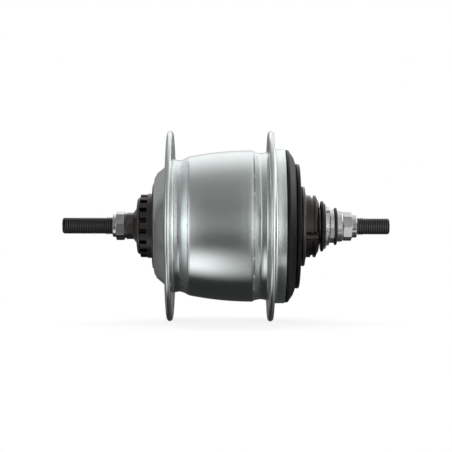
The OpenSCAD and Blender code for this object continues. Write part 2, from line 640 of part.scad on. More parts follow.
module reduction_planet_pins() color([0.7, 0.7, 0.7]) lay()
    at_planets(reduction_reach) rod(pin_d / 2, middle_plate[1] - 2.6, right_plate[1]);

// Roller clutch: the rollers climb the cam's ramps and wedge in the race
roller_plane = [-29.8, -23.4];
cage_plane = [-30.8, cam_to - 0.2];
race_plane = [-31, -21.8];
module clutch_race() color([0.6, 0.6, 0.6]) lay()
    ring(clutch_r, clutch_bore_d / 2 - seat, race_plane[0], race_plane[1]);
module clutch_rollers() color([0.8, 0.8, 0.8]) lay()
    around(rollers) translate([roller_reach, 0, 0]) rod(roller_d / 2, roller_plane[0], roller_plane[1]);
module roller_cage() color([0.6, 0.55, 0.4]) lay() difference() {
    ring(ramp_high + 0.2, clutch_r - past, cage_plane[0], cage_plane[1]);
    around(rollers) block(10, roller_d + 0.3, roller_plane[0] - 0.2, roller_plane[1] + 0.2, roller_reach - 3);
}

// Planets: stepped gears on the pins
module stepped_planet(counts, planes) color([0.62, 0.61, 0.58]) difference() {
    union() {
        for (i = [0 : len(counts) - 1]) gear(counts[i], planes[i]);
        rod(root_r(min(counts)) - 0.05, planes[0][0], planes[len(planes) - 1][1]);
    }
    rod(pin_d / 2 + running, planes[0][0] - cut, planes[len(planes) - 1][1] + cut);
}
module overdrive_planet(k) lay() at_planet(k, overdrive_reach)
    stepped_planet([top_step, middle_step, low_step], [top_plane, middle_plane, low_plane]);
module reduction_planet(k) lay() at_planet(k, reduction_reach)
    stepped_planet([slow_small, slow_large], [slow_small_plane, slow_large_plane]);
module overdrive_planet_1() overdrive_planet(1);
module overdrive_planet_2() overdrive_planet(2);
module overdrive_planet_3() overdrive_planet(3);
module reduction_planet_1() reduction_planet(1);
module reduction_planet_2() reduction_planet(2);
module reduction_planet_3() reduction_planet(3);

// Ring gear of the overdrive stage, with its pawls, and the ratchet ring in the shell
overdrive_ring_r = pitch_r(overdrive_ring) + dedendum + 3.2;
ratchet_tip_r = overdrive_ring_r + 0.7;
ratchet_root_r = ratchet_tip_r + 1.6;
pawl_plane = [middle_plane[0] + 1, middle_plane[1] - 1];
pawls = 3;
pivot_r = 1.3;
pivot_reach = overdrive_ring_r - pivot_r + 0.3;
pawl_first = 30;
pawl_tip_r = ratchet_root_r - 0.4;
module pawl_shape(more = 0) {
    translate([pivot_reach, 0]) circle(pivot_r + more);
    polygon([[pivot_reach - 0.9 - more, 0], polar(pawl_tip_r - 2.2 - more, 11), polar(pawl_tip_r + more, 11),
        polar(pawl_tip_r + more, 10), [pivot_reach + 1 + more, 0]]);
}
module ring_gear_overdrive() color([0.55, 0.54, 0.52]) lay() difference() {
    ring(pitch_r(overdrive_ring) - addendum - 1, overdrive_ring_r, middle_plane[0], middle_plane[1]);
    ring_spaces(overdrive_ring, [middle_plane[0] - cut, middle_plane[1] + cut],
        ring_turn(overdrive_ring, middle_step));
    around(pawls, pawl_first) prism(pawl_plane[0] - 0.1, pawl_plane[1] + 0.1) pawl_shape(0.12);
    ring(overdrive_ring_r - 0.7, overdrive_ring_r + cut, -9.3, -8.5);
}
module drive_pawls() color([0.35, 0.35, 0.37]) lay() difference() {
    around(pawls, pawl_first) prism(pawl_plane[0], pawl_plane[1]) pawl_shape();
    ring(overdrive_ring_r - 0.8, pawl_tip_r + cut, -9.4, -8.4);
}
module pawl_spring() color([0.6, 0.6, 0.62]) lay() difference() {
    ring(overdrive_ring_r - 0.6, overdrive_ring_r + 0.05, -9.2, -8.6);
    rotate(-10) block(2 * overdrive_ring_r, 3, -10, -8);
}
module ratchet_outline()
    polygon([for (k = [0 : ratchet_teeth - 1], end = [0, 1])
        polar(end == 0 ? ratchet_tip_r : ratchet_root_r,
            pawl_first + 11.3 + 360 / ratchet_teeth * (k - 0.9 + end * 0.9))]);
module ratchet_ring() color([0.55, 0.55, 0.54]) lay() difference() {
    rod(gear_bore_d / 2 - seat, middle_plane[0] + 0.4, middle_plane[1] - 0.4);
    prism(middle_plane[0] - cut, middle_plane[1] + cut) ratchet_outline();
}

// Hub shell: cast, turned and drilled
flange_r = flange_d / 2;
spoke_circle_r = flange_r - spoke_edge;
left_rise_r = 34.15;
left_rise_curve = 2.35;
shell_wall_r = 26.1;
half_t = flange_t / 2;
left_flange = flange_mid - flange_gap / 2;
right_flange = flange_mid + flange_gap / 2;
groove_curve = 8;
left_groove_at = -24.8;
right_groove_at = 18.6;
barrel_top = 14;
barrel_from = -19.4;
fillet_r = 1.65;
wall_end = -35.1;
spigot_r = spline_d / 2 - 0.1;
cup_outer_r = rim_path[0] + rim_race_r + 1.2;
cup_from = 23.5;
function side_angle(rise, curve) = asin(rise / curve);
function rim(at) = arc(flange_r - half_t, at, half_t, -90, 90, 8);
left_groove_r = left_groove_d / 2;
right_groove_r = right_groove_d / 2;
barrel_r = barrel_d / 2;
collar_r = collar_d / 2;
fillet_left = left_flange + half_t + fillet_r;
fillet_mid = right_flange - half_t - fillet_r;
fillet_right = right_flange + half_t + fillet_r;
module spoke_holes(flange, first) around(spokes, first)
    translate([spoke_circle_r, 0, 0]) rod(spoke_hole_d / 2, flange - flange_t, flange + flange_t);
module hub_shell() color([0.72, 0.75, 0.75]) lay() difference() {
    turned([
        [spigot_r + seat, end_face], [end_face_d / 2, end_face], [end_face_d / 2 + 0.5, end_face + 0.8],
        [end_face_d / 2 + 1.2, end_face + 1.3],
        each arc(left_rise_r, left_flange - half_t - left_rise_curve, left_rise_curve, 180, 90, 5),
        each rim(left_flange),
        each arc(left_groove_r + 0.35 + fillet_r, fillet_left, fillet_r, 270, 180, 5),
        each arc(left_groove_r + groove_curve, left_groove_at, groove_curve,
            180 - side_angle(fillet_left + 0.3 - left_groove_at, groove_curve),
            180 - side_angle(barrel_from - 0.6 - left_groove_at, groove_curve), 8),
        each arc(barrel_r - barrel_curve, barrel_top, barrel_curve,
            side_angle(barrel_from - barrel_top, barrel_curve), 0, 10),
        each arc(right_groove_r + groove_curve, right_groove_at, groove_curve,
            180 - side_angle(barrel_top + 0.3 - right_groove_at, groove_curve),
            180 - side_angle(fillet_mid - 0.3 - right_groove_at, groove_curve), 7),
        each arc(right_groove_r + 0.3 + fillet_r, fillet_mid, fillet_r, 180, 90, 5),
        each rim(right_flange),
        each arc(collar_r + fillet_r, fillet_right, fillet_r, 270, 180, 5),
        [collar_r, collar_end - 0.5], [collar_r - 0.5, collar_end], [cup_outer_r + seat, collar_end],
        [cup_outer_r + seat, cup_from], [gear_bore_d / 2, cup_from], [gear_bore_d / 2, middle_plane[0] - 0.4],
        [clutch_bore_d / 2 + 1, middle_plane[0] - 3.6], [clutch_bore_d / 2, middle_plane[0] - 5.6],
        [clutch_bore_d / 2, race_plane[0]], [clutch_bore_d / 2 - 2.9, race_plane[0] - 0.8],
        [shell_wall_r, wall_end], [spigot_r + seat, wall_end]]);
    spoke_holes(left_flange, 0);
    spoke_holes(right_flange, 180 / spokes);
}

// What is pressed into the shell: the brake spline ring and the two ball cups
left_cup_r = 14.57;
module brake_spline_ring() color([0.16, 0.14, 0.14]) lay() difference() {
    turned([[left_cup_r + seat, spline_from], [spline_d / 2 - 0.3, spline_from], [spline_d / 2, spline_from + 0.3],
        [spline_d / 2, spline_from + spline_len], [spline_collar_d / 2, spline_from + spline_len],
        [spline_collar_d / 2, end_face - spline_flange_t], [spline_flange_d / 2, end_face - spline_flange_t],
        [spline_flange_d / 2, end_face], [spigot_r, end_face], [spigot_r, wall_end + 0.2],
        [left_cup_r + seat, wall_end + 0.2]]);
    around(spline_slots, 180 / spline_slots)
        block(spline_d, slot_w, spline_from - cut, spline_from + spline_len + 0.2, spline_d / 2 - slot_depth);
}
module left_ball_cup() color([0.6, 0.6, 0.6]) lay() rotate_extrude() difference() {
    polygon([[left_cup_r, spline_from + 1.5], [left_cup_r, left_path[1] + race_r + 1.6],
        [cone_r + 0.5, left_path[1] + race_r + 1.6], [cone_r + 0.5, left_path[1]], [13.5, left_path[1]],
        [13.5, spline_from + 1.5]]);
    race(left_path, race_r);
}
module right_ball_cup() color([0.6, 0.6, 0.6]) lay() rotate_extrude() difference() {
    polygon([[cup_outer_r, cup_from + 0.1], [cup_outer_r, collar_end - 0.5], [cup_outer_r - 1.4, collar_end - 0.5],
        [cup_outer_r - 1.4, rim_path[1]], [reduction_ring_r + 0.6, rim_path[1]],
        [reduction_ring_r + 0.6, cup_from + 0.1]]);
    race(rim_path, rim_race_r);
}

axle();
left_lock_nut();
left_lock_washer();
left_cone();
left_dust_cap();
right_cone();
driver_dust_disc();
stop_nut();
retaining_ring();
spacer_collar();
right_lock_nut();
sun_gear_reduction();
sun_gear_top();
sun_pawls();
axle_snap_rings();
return_spring();
actuator_ring();
control_arms();
cam_ring();
driver();
ring_gear_reduction();
driver_seal();
dust_cap_large();
dust_cap_small();
driver_back_ring();
driver_balls();
driver_ball_retainer();
right_balls();
right_ball_retainer();
carrier_left_plate();
carrier_body();
carrier_right_plate();
overdrive_planet_pins();
reduction_planet_pins();
clutch_rollers();
roller_cage();
carrier_screws();
overdrive_planet_1();
overdrive_planet_2();
overdrive_planet_3();
reduction_planet_1();
reduction_planet_2();
reduction_planet_3();
sun_gear_low();
sun_gear_middle();
ring_gear_overdrive();
drive_pawls();
pawl_spring();
hub_shell();
brake_spline_ring();
left_ball_cup();
clutch_race();
ratchet_ring();
right_ball_cup();
left_balls();
left_ball_retainer();
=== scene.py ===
import math

import bmesh
import bpy
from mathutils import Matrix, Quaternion, Vector


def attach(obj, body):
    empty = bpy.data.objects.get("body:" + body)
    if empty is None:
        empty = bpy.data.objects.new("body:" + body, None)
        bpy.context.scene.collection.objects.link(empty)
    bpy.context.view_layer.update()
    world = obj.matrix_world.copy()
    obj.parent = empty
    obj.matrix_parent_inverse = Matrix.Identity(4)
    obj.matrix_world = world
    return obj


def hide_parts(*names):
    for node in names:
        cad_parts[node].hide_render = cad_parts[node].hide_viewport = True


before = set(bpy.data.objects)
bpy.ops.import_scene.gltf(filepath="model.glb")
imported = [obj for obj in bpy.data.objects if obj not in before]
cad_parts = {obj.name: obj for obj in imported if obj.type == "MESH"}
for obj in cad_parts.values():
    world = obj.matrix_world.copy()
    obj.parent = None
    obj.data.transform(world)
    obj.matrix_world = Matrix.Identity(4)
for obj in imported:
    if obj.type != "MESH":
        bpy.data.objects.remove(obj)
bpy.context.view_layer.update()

# Axle: one steel rod, turned and blackened, with 26 threads to the inch rolled on both ends and
# two flats milled on each. Its thick middle holds the sun gears and has slots for their pawls.
# Sizes are in mm and angles in degrees, unless a section says otherwise.
MM = 0.001
TURN = 360
MERGED = 0.001 * MM
SHARP = math.radians(34)
THREAD = dict(pitch=25.4 / 26, crest=4.7, root=4.14, chamfer=1.0, half_flats=4.35, steps=60)
AXLE_MIDDLE = 59.0
THREADED_ENDS = (dict(start=-88.5, end=-58.8, flats_from=-90, flats_to=-65),
                 dict(start=58.8, end=88.5, flats_from=74.2, flats_to=90))


def spot(r, angle, along):
    """A point at radius r, at an angle about the axle, so far along it to the drive side, in mm."""
    turn = math.radians(angle)
    return Vector((r * math.cos(turn), -along, r * math.sin(turn))) * MM


def shown(name, mesh):
    """The mesh as an object in the scene, smooth but for its sharp edges."""
    mesh.polygons.foreach_set("use_smooth", [True] * len(mesh.polygons))
    mesh.set_sharp_from_angle(angle=SHARP)
    piece = bpy.data.objects.new(name, mesh)
    bpy.context.scene.collection.objects.link(piece)
    return piece


def made(name, bm):
    """The finished mesh as an object: doubles merged and faces outwards."""
    bmesh.ops.remove_doubles(bm, verts=bm.verts, dist=MERGED)
    bmesh.ops.dissolve_degenerate(bm, edges=bm.edges, dist=MERGED)
    bmesh.ops.recalc_face_normals(bm, faces=bm.faces)
    mesh = bpy.data.meshes.new(name)
    bm.to_mesh(mesh)
    bm.free()
    return shown(name, mesh)


def walled(bm, rows, ring=True, loop=False):
    """Faces between neighbouring rows of points. A ring joins its last row to its first, and a loop
    joins the last point of each row to the first."""
    for row, after in zip(rows, rows[1:] + rows[:1] if ring else rows[1:]):
        for i in range(len(row) if loop else len(row) - 1):
            j = (i + 1) % len(row)
            bm.faces.new((row[i], row[j], after[j], after[i]))


def cut_square(bm, at, way):
    """Cuts the mesh square across the axle and closes the cut. Way 1 drops what lies to the left of
    the place, and -1 what lies to the right."""
    whole = bm.verts[:] + bm.edges[:] + bm.faces[:]
    bmesh.ops.bisect_plane(bm, geom=whole, plane_co=spot(0, 0, at), plane_no=(0, way, 0),
                           clear_outer=True)
    near = 5 * MERGED
    edges = [edge for edge in bm.edges
             if edge.is_boundary and all(abs(v.co.y + at * MM) < near for v in edge.verts)]
    bmesh.ops.edgeloop_fill(bm, edges=edges)


def threaded(start, end, flats_from, flats_to):
    """A threaded rod between two places on the axle, with two flats over part of it."""
    pitch, crest, root, chamfer = (THREAD[size] for size in ("pitch", "crest", "root", "chamfer"))
    form = [(0.0, root), (0.1, root), (0.42, crest), (0.62, crest)]
    outer = max(abs(start), abs(end))
    bm = bmesh.new()
    rows = []
    for step in range(THREAD["steps"] + 1):
        share = step / THREAD["steps"]
        row = []
        for k in range(math.ceil((end - start) / pitch) + 3):
            for part, r in form:
                along = start + pitch * (k - 2 + part + share)
                if flats_from < along < flats_to:
                    r = min(r, THREAD["half_flats"] / max(abs(math.sin(math.tau * share)), 0.1))
                if outer - abs(along) < chamfer:
                    r = min(r, crest - chamfer + outer - abs(along))
                row.append(bm.verts.new(spot(max(r, 1), TURN * share, along)))
        rows.append(row)
    walled(bm, rows, ring=False)
    bmesh.ops.remove_doubles(bm, verts=bm.verts, dist=MERGED)
    cut_square(bm, start, 1)
    cut_square(bm, end, -1)
    return bm


def joined(bm, other):
    """Adds the other mesh to this one."""
    spare = bpy.data.meshes.new("spare")
    other.to_mesh(spare)
    other.free()
    bm.from_mesh(spare)
    bpy.data.meshes.remove(spare)


bm = bmesh.new()
bm.from_mesh(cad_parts["axle"].data)
bmesh.ops.remove_doubles(bm, verts=bm.verts, dist=MERGED)
cut_square(bm, -AXLE_MIDDLE, 1)
cut_square(bm, AXLE_MIDDLE, -1)
for sizes in THREADED_ENDS:
    joined(bm, threaded(**sizes))
axle = made("axle_threaded", bm)


class Wire:
    """An output of a node, on which sums can be written."""

    def __init__(self, tree, socket):
        self.tree, self.socket = tree, socket

    def sum(self, operation, first, second):
        return self.tree.node("ShaderNodeMath", {"operation": operation}, {0: first, 1: second})

    def __add__(self, other): return self.sum("ADD", self, other)
    def __radd__(self, other): return self.sum("ADD", other, self)
    def __sub__(self, other): return self.sum("SUBTRACT", self, other)
    def __rsub__(self, other): return self.sum("SUBTRACT", other, self)
    def __mul__(self, other): return self.sum("MULTIPLY", self, other)
    def __rmul__(self, other): return self.sum("MULTIPLY", other, self)
    def __truediv__(self, other): return self.sum("DIVIDE", self, other)
    def __rtruediv__(self, other): return self.sum("DIVIDE", other, self)
    def __pow__(self, other): return self.sum("POWER", self, other)
    def __rpow__(self, other): return self.sum("POWER", other, self)


class Tree:
    """The nodes of a material, of the world or of a pattern of pieces."""

    def __init__(self, node_tree):
        self.nodes, self.links = node_tree.nodes, node_tree.links

    def node(self, kind, settings=None, inputs=None, out=0):
        """Adds a node with its settings, then its sockets' values or wires. Gives one output."""
        new = self.nodes.new(kind)
        for name, value in (settings or {}).items():
            if name == "stops":
                ramp = new.color_ramp.elements
                while len(ramp) < len(value):
                    ramp.new(0.5)
                for stop, (place, level) in zip(ramp, value):
                    stop.position, stop.color = place, (level, level, level, 1)
            else:
                setattr(new, name, value)
        for name, value in (inputs or {}).items():
            self.feed(new.inputs[name], value)
        return Wire(self, new.outputs[out])

    def feed(self, socket, value):
        """Links a socket to a wire or to a list of them, or sets its value."""
        if isinstance(value, (Wire, list)):
            for wire in value if isinstance(value, list) else [value]:
                self.links.new(wire.socket, socket)
        else:
            socket.default_value = value

    def smooth(self, value, start, end, low=0.0, high=1.0):
        """Goes smoothly from low at start to high at end."""
        return self.node("ShaderNodeMapRange", {"interpolation_type": "SMOOTHSTEP"}, {
            "Value": value, "From Min": start, "From Max": end, "To Min": low, "To Max": high})

    def blend(self, mask, first, second):
        """A colour between two, by a mask."""
        return self.node("ShaderNodeMix", {"data_type": "RGBA"}, {0: mask, 6: first, 7: second}, 2)

    def noise(self, vector, scale, detail):
        """Soft random patches, finer as the scale goes up."""
        return self.node("ShaderNodeTexNoise", inputs={
            "Vector": vector, "Scale": scale, "Detail": detail})

    def split(self, vector):
        """The three parts of a vector."""
        first = self.node("ShaderNodeSeparateXYZ", inputs={0: vector})
        return [Wire(self, part) for part in first.socket.node.outputs]

    def level(self, value):
        """A grey of that brightness."""
        return self.node("ShaderNodeCombineColor", inputs={0: value, 1: value, 2: value})

    def place(self):
        """Where a point lies on its piece, in metres from the hub's middle."""
        return self.node("ShaderNodeTexCoord", out="Object")


def shading(owner):
    """The nodes of a material or of the world."""
    owner.use_nodes = True
    return Tree(owner.node_tree)


def grey(value, warm=0.0):
    """A grey, a little warmer or cooler."""
    return (value * (1 + warm), value, value * (1 - warm), 1)


def finish(name, dark, light, roughness, metallic, grain=0.25, lines=0.0, lines_scale=9000,
           mottle=900, specular=0.5, depth=0.012, crest=None, wear_and_highlight=None):
    """A surface that varies between two colours and has fine grain, and tool lines where it was
    turned. The lines run round the axle: they depend on the radius and the place along the axle
    only. The depth of both is in mm. Where a crest's radius is given, the surface turns to another
    colour from a little below the crest: wear, and on the axle's threads also a painted highlight."""
    wear_and_highlight_from, wear_and_highlight_full = 0.22, 0.02
    material = bpy.data.materials.new(name)
    tree = shading(material)
    shader = tree.nodes["Principled BSDF"].inputs
    where = tree.place()
    x, along, z = tree.split(where)
    radius = (x * x + z * z) ** 0.5
    patches = tree.noise(where, mottle / 10, 4.0)
    speck = tree.noise(where, mottle * 5, 2.0)
    cuts = tree.noise(tree.node("ShaderNodeCombineXYZ", inputs={0: radius, 1: along}),
                      lines_scale, 2.0)
    colour = tree.blend(tree.smooth(patches * 0.8 + speck * 0.2, 0.36, 0.64), dark, light)
    # Near a crest the colour changes: worn finish, and on the threads also a painted highlight.
    if crest:
        wear_and_highlight_mask = tree.smooth(radius, (crest - wear_and_highlight_from) * MM, (crest - wear_and_highlight_full) * MM)
        colour = tree.blend(wear_and_highlight_mask, colour, wear_and_highlight)
    tree.feed(shader["Base Color"], colour)
    uneven = (patches - 0.5) * grain + (cuts - 0.5) * lines * 0.8 + (speck - 0.5) * grain
    tree.feed(shader["Roughness"], roughness * (1 + uneven))
    tree.feed(shader["Normal"], tree.node("ShaderNodeBump", inputs={
        "Strength": 0.25, "Distance": depth * MM, "Height": speck * grain + cuts * lines}))
    shader["Metallic"].default_value = metallic
    shader["Specular IOR Level"].default_value = specular
    return material


def settle(piece, material, body, slot_name, *nodes):
    """Gives a piece its material and its body, and hides the CAD nodes that it stands for. The
    slot's name is not used.
    """
    piece.data.materials.clear()
    piece.data.materials.append(material)
    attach(piece, body)
    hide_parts(*nodes)


# The thread crests are painted lighter grey: a painted highlight on the crests, and worn oxide as
# well.
black_oxide = finish("black_oxide_steel", grey(0.006), grey(0.016), 0.24, 0.8, grain=0.5, lines=0.4,
                     crest=THREAD["crest"], wear_and_highlight=grey(0.1))
settle(axle, black_oxide, "axle_unit", "black_steel", "axle")

# Lock nuts: two nuts of zinc plated steel with eight flats, turned to a cone at both faces and to a
# round boss on the outer one. They clamp the stack, and the frame ends stand against the bosses.
BORE, BORE_EDGE = 4.73, 0.4
NUT = dict(sides=8, half=7.25, rounding=0.25, bevel_r=7.15, slope=0.376, boss_r=6.1, boss_edge=0.35)
LEFT_NUT = dict(inner=-54.8, outer=-59.4, boss_end=-61.3, turn=-8.2)
RIGHT_NUT = dict(inner=63.4, outer=68.0, boss_end=70.8, turn=2.4)


def eased(points, radius):
    """A closed outline with its corners rounded, and held flat close beside each rounding.
    A point whose third number is 0 lies on a curve and stays as it is."""
    wide, most_of_side, held_to, steps = 1.2, 0.36, 1.25, 3
    flat = [Vector(point[:2]) for point in points]
    out = []
    for i, point in enumerate(points):
        here = flat[i]
        if len(point) == 3:
            out.append(tuple(here))
            continue
        back, ahead = flat[i - 1] - here, flat[(i + 1) % len(flat)] - here
        shorter = min(back.length, ahead.length)
        reach = 0.0
        if shorter > 0.001:
            bend = math.pi - back.angle(ahead)
            reach = min(radius * math.tan(bend / 2) * wide, shorter * most_of_side)
            back.normalize()
            ahead.normalize()
        out.append(tuple(here + back * reach * held_to))
        for k in range(steps + 1):
            t = k / steps
            out.append(tuple(here + back * reach * (1 - t) ** 2 + ahead * reach * t * t))
        out.append(tuple(here + ahead * reach * held_to))
    return out


def evenly(count):
    """So many even steps round the axle."""
    return [TURN * k / count for k in range(count)]


def both_ways(offsets):
    """The middle, and each offset to both sides of it."""
    return [0, *(side * offset for offset in offsets for side in (-1, 1))]


def about(first, count, offsets):
    """The angles at some offsets from each of an even ring of places."""
    return {(first + TURN / count * k + offset) % TURN for k in range(count) for offset in offsets}


def turned(name, outline, angles=None):
    """A closed outline taken round the axle: points of a radius and a place along the axle, in mm.
    The outline is a list, or a rule that gives it at an angle."""
    rule = outline if callable(outline) else lambda angle: outline
    bm = bmesh.new()
    walled(bm, [[bm.verts.new(spot(r, angle, along)) for r, along in rule(angle)]
                for angle in angles or evenly(160)], loop=True)
    return made(name, bm)


def from_nearest(angle, first, count):
    """How far an angle is from the nearest of an even ring of places."""
    step = TURN / count
    return (angle - first + step / 2) % step - step / 2


def flat_sided(angle, sides, half, turn, rounding):
    """The radius of a rounded polygon at an angle, and its first corner stands at turn."""
    off = from_nearest(angle, turn, sides)
    side = math.radians(TURN / sides / 2)
    far = (half - rounding) / math.cos(side)
    tangent = math.degrees(math.atan2(rounding * math.sin(side), far + rounding * math.cos(side)))
    if abs(off) < tangent:
        t = math.radians(off)
        return far * math.cos(t) + math.sqrt(rounding ** 2 - (far * math.sin(t)) ** 2)
    return half / math.cos(side - math.radians(abs(off)))


def corner_steps(sides, turn, close):
    """Angles round a polygon, close together at its corners."""
    step = TURN / sides
    offsets = both_ways([*close, step * 0.2, step * 0.33, step * 0.43])
    return sorted(about(turn, sides, offsets + [step / 2]))


def lock_nut(name, inner, outer, boss_end, turn):
    """A nut whose flats run from its inner to its outer face, with its boss beyond the outer."""
    way = 1 if outer > inner else -1
    bevel_r, boss_r, edge = NUT["bevel_r"], NUT["boss_r"], NUT["boss_edge"]

    def outline(angle):
        corner = flat_sided(angle, NUT["sides"], NUT["half"], turn, NUT["rounding"])
        middle = (bevel_r + corner) / 2
        fall = way * NUT["slope"] * (corner - bevel_r)
        return eased([
            (BORE, inner + way * BORE_EDGE), (BORE + BORE_EDGE, inner), (bevel_r, inner),
            (middle, inner + fall / 2), (corner, inner + fall), (corner, outer - fall),
            (middle, outer - fall / 2), (bevel_r, outer), (boss_r, outer),
            (boss_r, boss_end - way * edge), (boss_r - edge, boss_end),
            (BORE + BORE_EDGE, boss_end), (BORE, boss_end - way * BORE_EDGE)], 0.12)

    return turned(name, outline, corner_steps(NUT["sides"], turn, (0.5, 1.0, 1.5, 2.2, 3.4)))


zinc = finish("zinc_plate", grey(0.56, 0.005), grey(0.7, 0.01), 0.13, 1.0, grain=0.3, lines=0.3)
for name, sizes, node in (("left_nut_turned", LEFT_NUT, "left_lock_nut"),
                          ("right_nut_turned", RIGHT_NUT, "right_lock_nut")):
    settle(lock_nut(name, **sizes), zinc, "axle_unit", "bright_steel", node)

# Left cone, washer and dust cap: the cone is hardened steel with eight flats for a thin spanner,
# and the balls run on its inner end. The washer keys it to the nut, and the pressed cap on its
# shoulder keeps dirt out of the bearing.
LEFT_PATH, TRACK_R = (11.2, -41.0), 2.5
WASHER_R = 6.6
CONE = dict(start=-53.9, flats_to=-50.1, head=-47.6, end=-38.8, sides=8, half=6.8, turn=-11.5,
            rounding=0.4, edge=0.25, neck_r=6.7, head_r=9.4, end_r=8.7)
CAP_R, CAP_EDGE_R = 6.75, 15.38


def bow(r, along, radius, start, end, steps):
    """Points on an arc about (r, along)."""
    angles = [math.radians(start + (end - start) * k / steps) for k in range(steps + 1)]
    return [(r + radius * math.cos(angle), along + radius * math.sin(angle)) for angle in angles]


def ball_track(place, start, end):
    """The groove that the balls run in, as an arc from one angle to another."""
    return [(*point, 0) for point in bow(*place, TRACK_R, start, end, 8)]


def cone_outline(angle):
    """The cone: its flats, its neck, and its head with the balls' groove."""
    start, flats_to, head, end = CONE["start"], CONE["flats_to"], CONE["head"], CONE["end"]
    corner = flat_sided(angle, CONE["sides"], CONE["half"], CONE["turn"], CONE["rounding"])
    cut = math.degrees(math.acos((CONE["head_r"] - LEFT_PATH[0]) / TRACK_R))
    return eased([
        (BORE, start), (corner - CONE["edge"], start), (corner, start + CONE["edge"]),
        (corner, flats_to), (CONE["neck_r"], flats_to), (CONE["neck_r"], head),
        (CONE["head_r"], head), *ball_track(LEFT_PATH, TURN - cut, TURN / 2), (CONE["end_r"], end),
        (BORE, end)], 0.1)


brown_steel = finish("browned_steel", (0.1, 0.088, 0.088, 1), (0.145, 0.125, 0.124, 1), 0.24, 0.85,
                     grain=0.4, lines=0.5)
dark_steel = finish("dark_steel", grey(0.09), grey(0.13), 0.36, 0.9, grain=0.4, lines=0.3)
washer = turned("left_washer_turned", eased([
    (BORE, LEFT_NUT["inner"]), (WASHER_R, LEFT_NUT["inner"]), (WASHER_R, CONE["start"]),
    (BORE, CONE["start"])], 0.1))
settle(washer, dark_steel, "axle_unit", "bright_steel", "left_lock_washer")
left_cone = turned("left_cone_turned", cone_outline,
                   corner_steps(CONE["sides"], CONE["turn"], (0.7, 1.6, 2.6, 3.6)))
settle(left_cone, brown_steel, "axle_unit", "brown_steel", "left_cone")
left_cap = turned("left_cap_pressed", eased([
    (CAP_R, -50.08), (7.2, -50.08), (9.4, -48.5), (14.4, -47.83), (CAP_EDGE_R, -47.03),
    (CAP_EDGE_R, -46.32), (14.6, -46.32), (14.2, -46.83), (10.2, -47.65), (CAP_R, -47.65)], 0.12))
settle(left_cap, brown_steel, "axle_unit", "brown_steel", "left_dust_cap")

# Hub shell: cast aluminium, turned to a satin finish and lacquered. Each of its two flanges has 18
# spoke holes, half a step apart from flange to flange, and a groove is turned on both sides of the
# barrel.
SHELL = dict(left=-30.2, right=24.1, flange_r=51.6, rim=1.55, flat_from=44.2, flat_to=48.6,
             fillet=1.65, left_end=-38.7, right_end=31.9, ring_seat=17.03, cup_seat=38.22,
             bore=36.5, left_bore=32.4)
SPOKES = dict(holes=18, circle_r=46.3, hole_r=1.5, broken_edge=0.22)


def soft_wall(start, r_start, end, r_end, end_slope, steps=20):
    """Points on a soft wall that starts level and ends with a given slope."""
    length = end - start
    out = []
    for k in range(steps + 1):
        t = k / steps
        soft = (r_end - r_start) * t * t * (3 - 2 * t) + end_slope * length * t * t * (t - 1)
        out.append((r_start + soft, start + length * t))
    return out


def flange(at):
    """The rounded edge of a flange, and the flat sides that the spoke holes go through."""
    rim, inner, outer = SHELL["rim"], SHELL["flat_from"], SHELL["flat_to"]
    edge = bow(SHELL["flange_r"] - rim, at, rim, -90, 90, 14)
    return [(inner, at - rim), (outer, at - rim), *edge, (outer, at + rim), (inner, at + rim)]


left_shoulder = [
    (SHELL["ring_seat"], SHELL["left_end"]), (24.6, SHELL["left_end"]), (25.6, -38.62),
    (26.4, -38.4), (26.8, -38.15), (27.0, -37.85), (27.3, -37.7), (28.4, -37.3),
    *bow(34.15, -34.1, 2.35, 135, 90, 5)]
left_groove = [
    *bow(37.6, -27.0, SHELL["fillet"], 270, 180, 9),
    *soft_wall(-25.3, 35.62, -20.0, 37.62, 0.55)[:-1]]
barrel = bow(-133, 14, 174, -11.07, 0, 36)
barrel_edge = [(40.98, 14.25), (40.9, 14.45), (40.55, 14.9)]
right_groove = [
    *soft_wall(18.6, 39.66, 15.2, 40.38, -0.27)[:0:-1], *bow(47.65, 18.6, 8, 182, 165.5, 8),
    *bow(41.6, 20.9, SHELL["fillet"], 180, 90, 9)]
collar = [
    *bow(43.45, 27.3, SHELL["fillet"], 270, 180, 9), (41.8, 31.35), (41.75, 31.6), (41.3, 31.88),
    (41.1, SHELL["right_end"]), (SHELL["cup_seat"], SHELL["right_end"])]
inside_wall = [
    (SHELL["cup_seat"], 23.5), (SHELL["bore"], 23.5), (SHELL["bore"], -12.8), (33.4, -16),
    (SHELL["left_bore"], -18), (SHELL["left_bore"], -31), (29.5, -31.8), (26.1, -35.1),
    (SHELL["ring_seat"], -35.1)]
shell_outline = (
    left_shoulder + flange(SHELL["left"]) + left_groove + barrel + barrel_edge + right_groove
    + flange(SHELL["right"]) + collar + inside_wall)
blank = turned("hub_shell_blank", shell_outline, evenly(240))


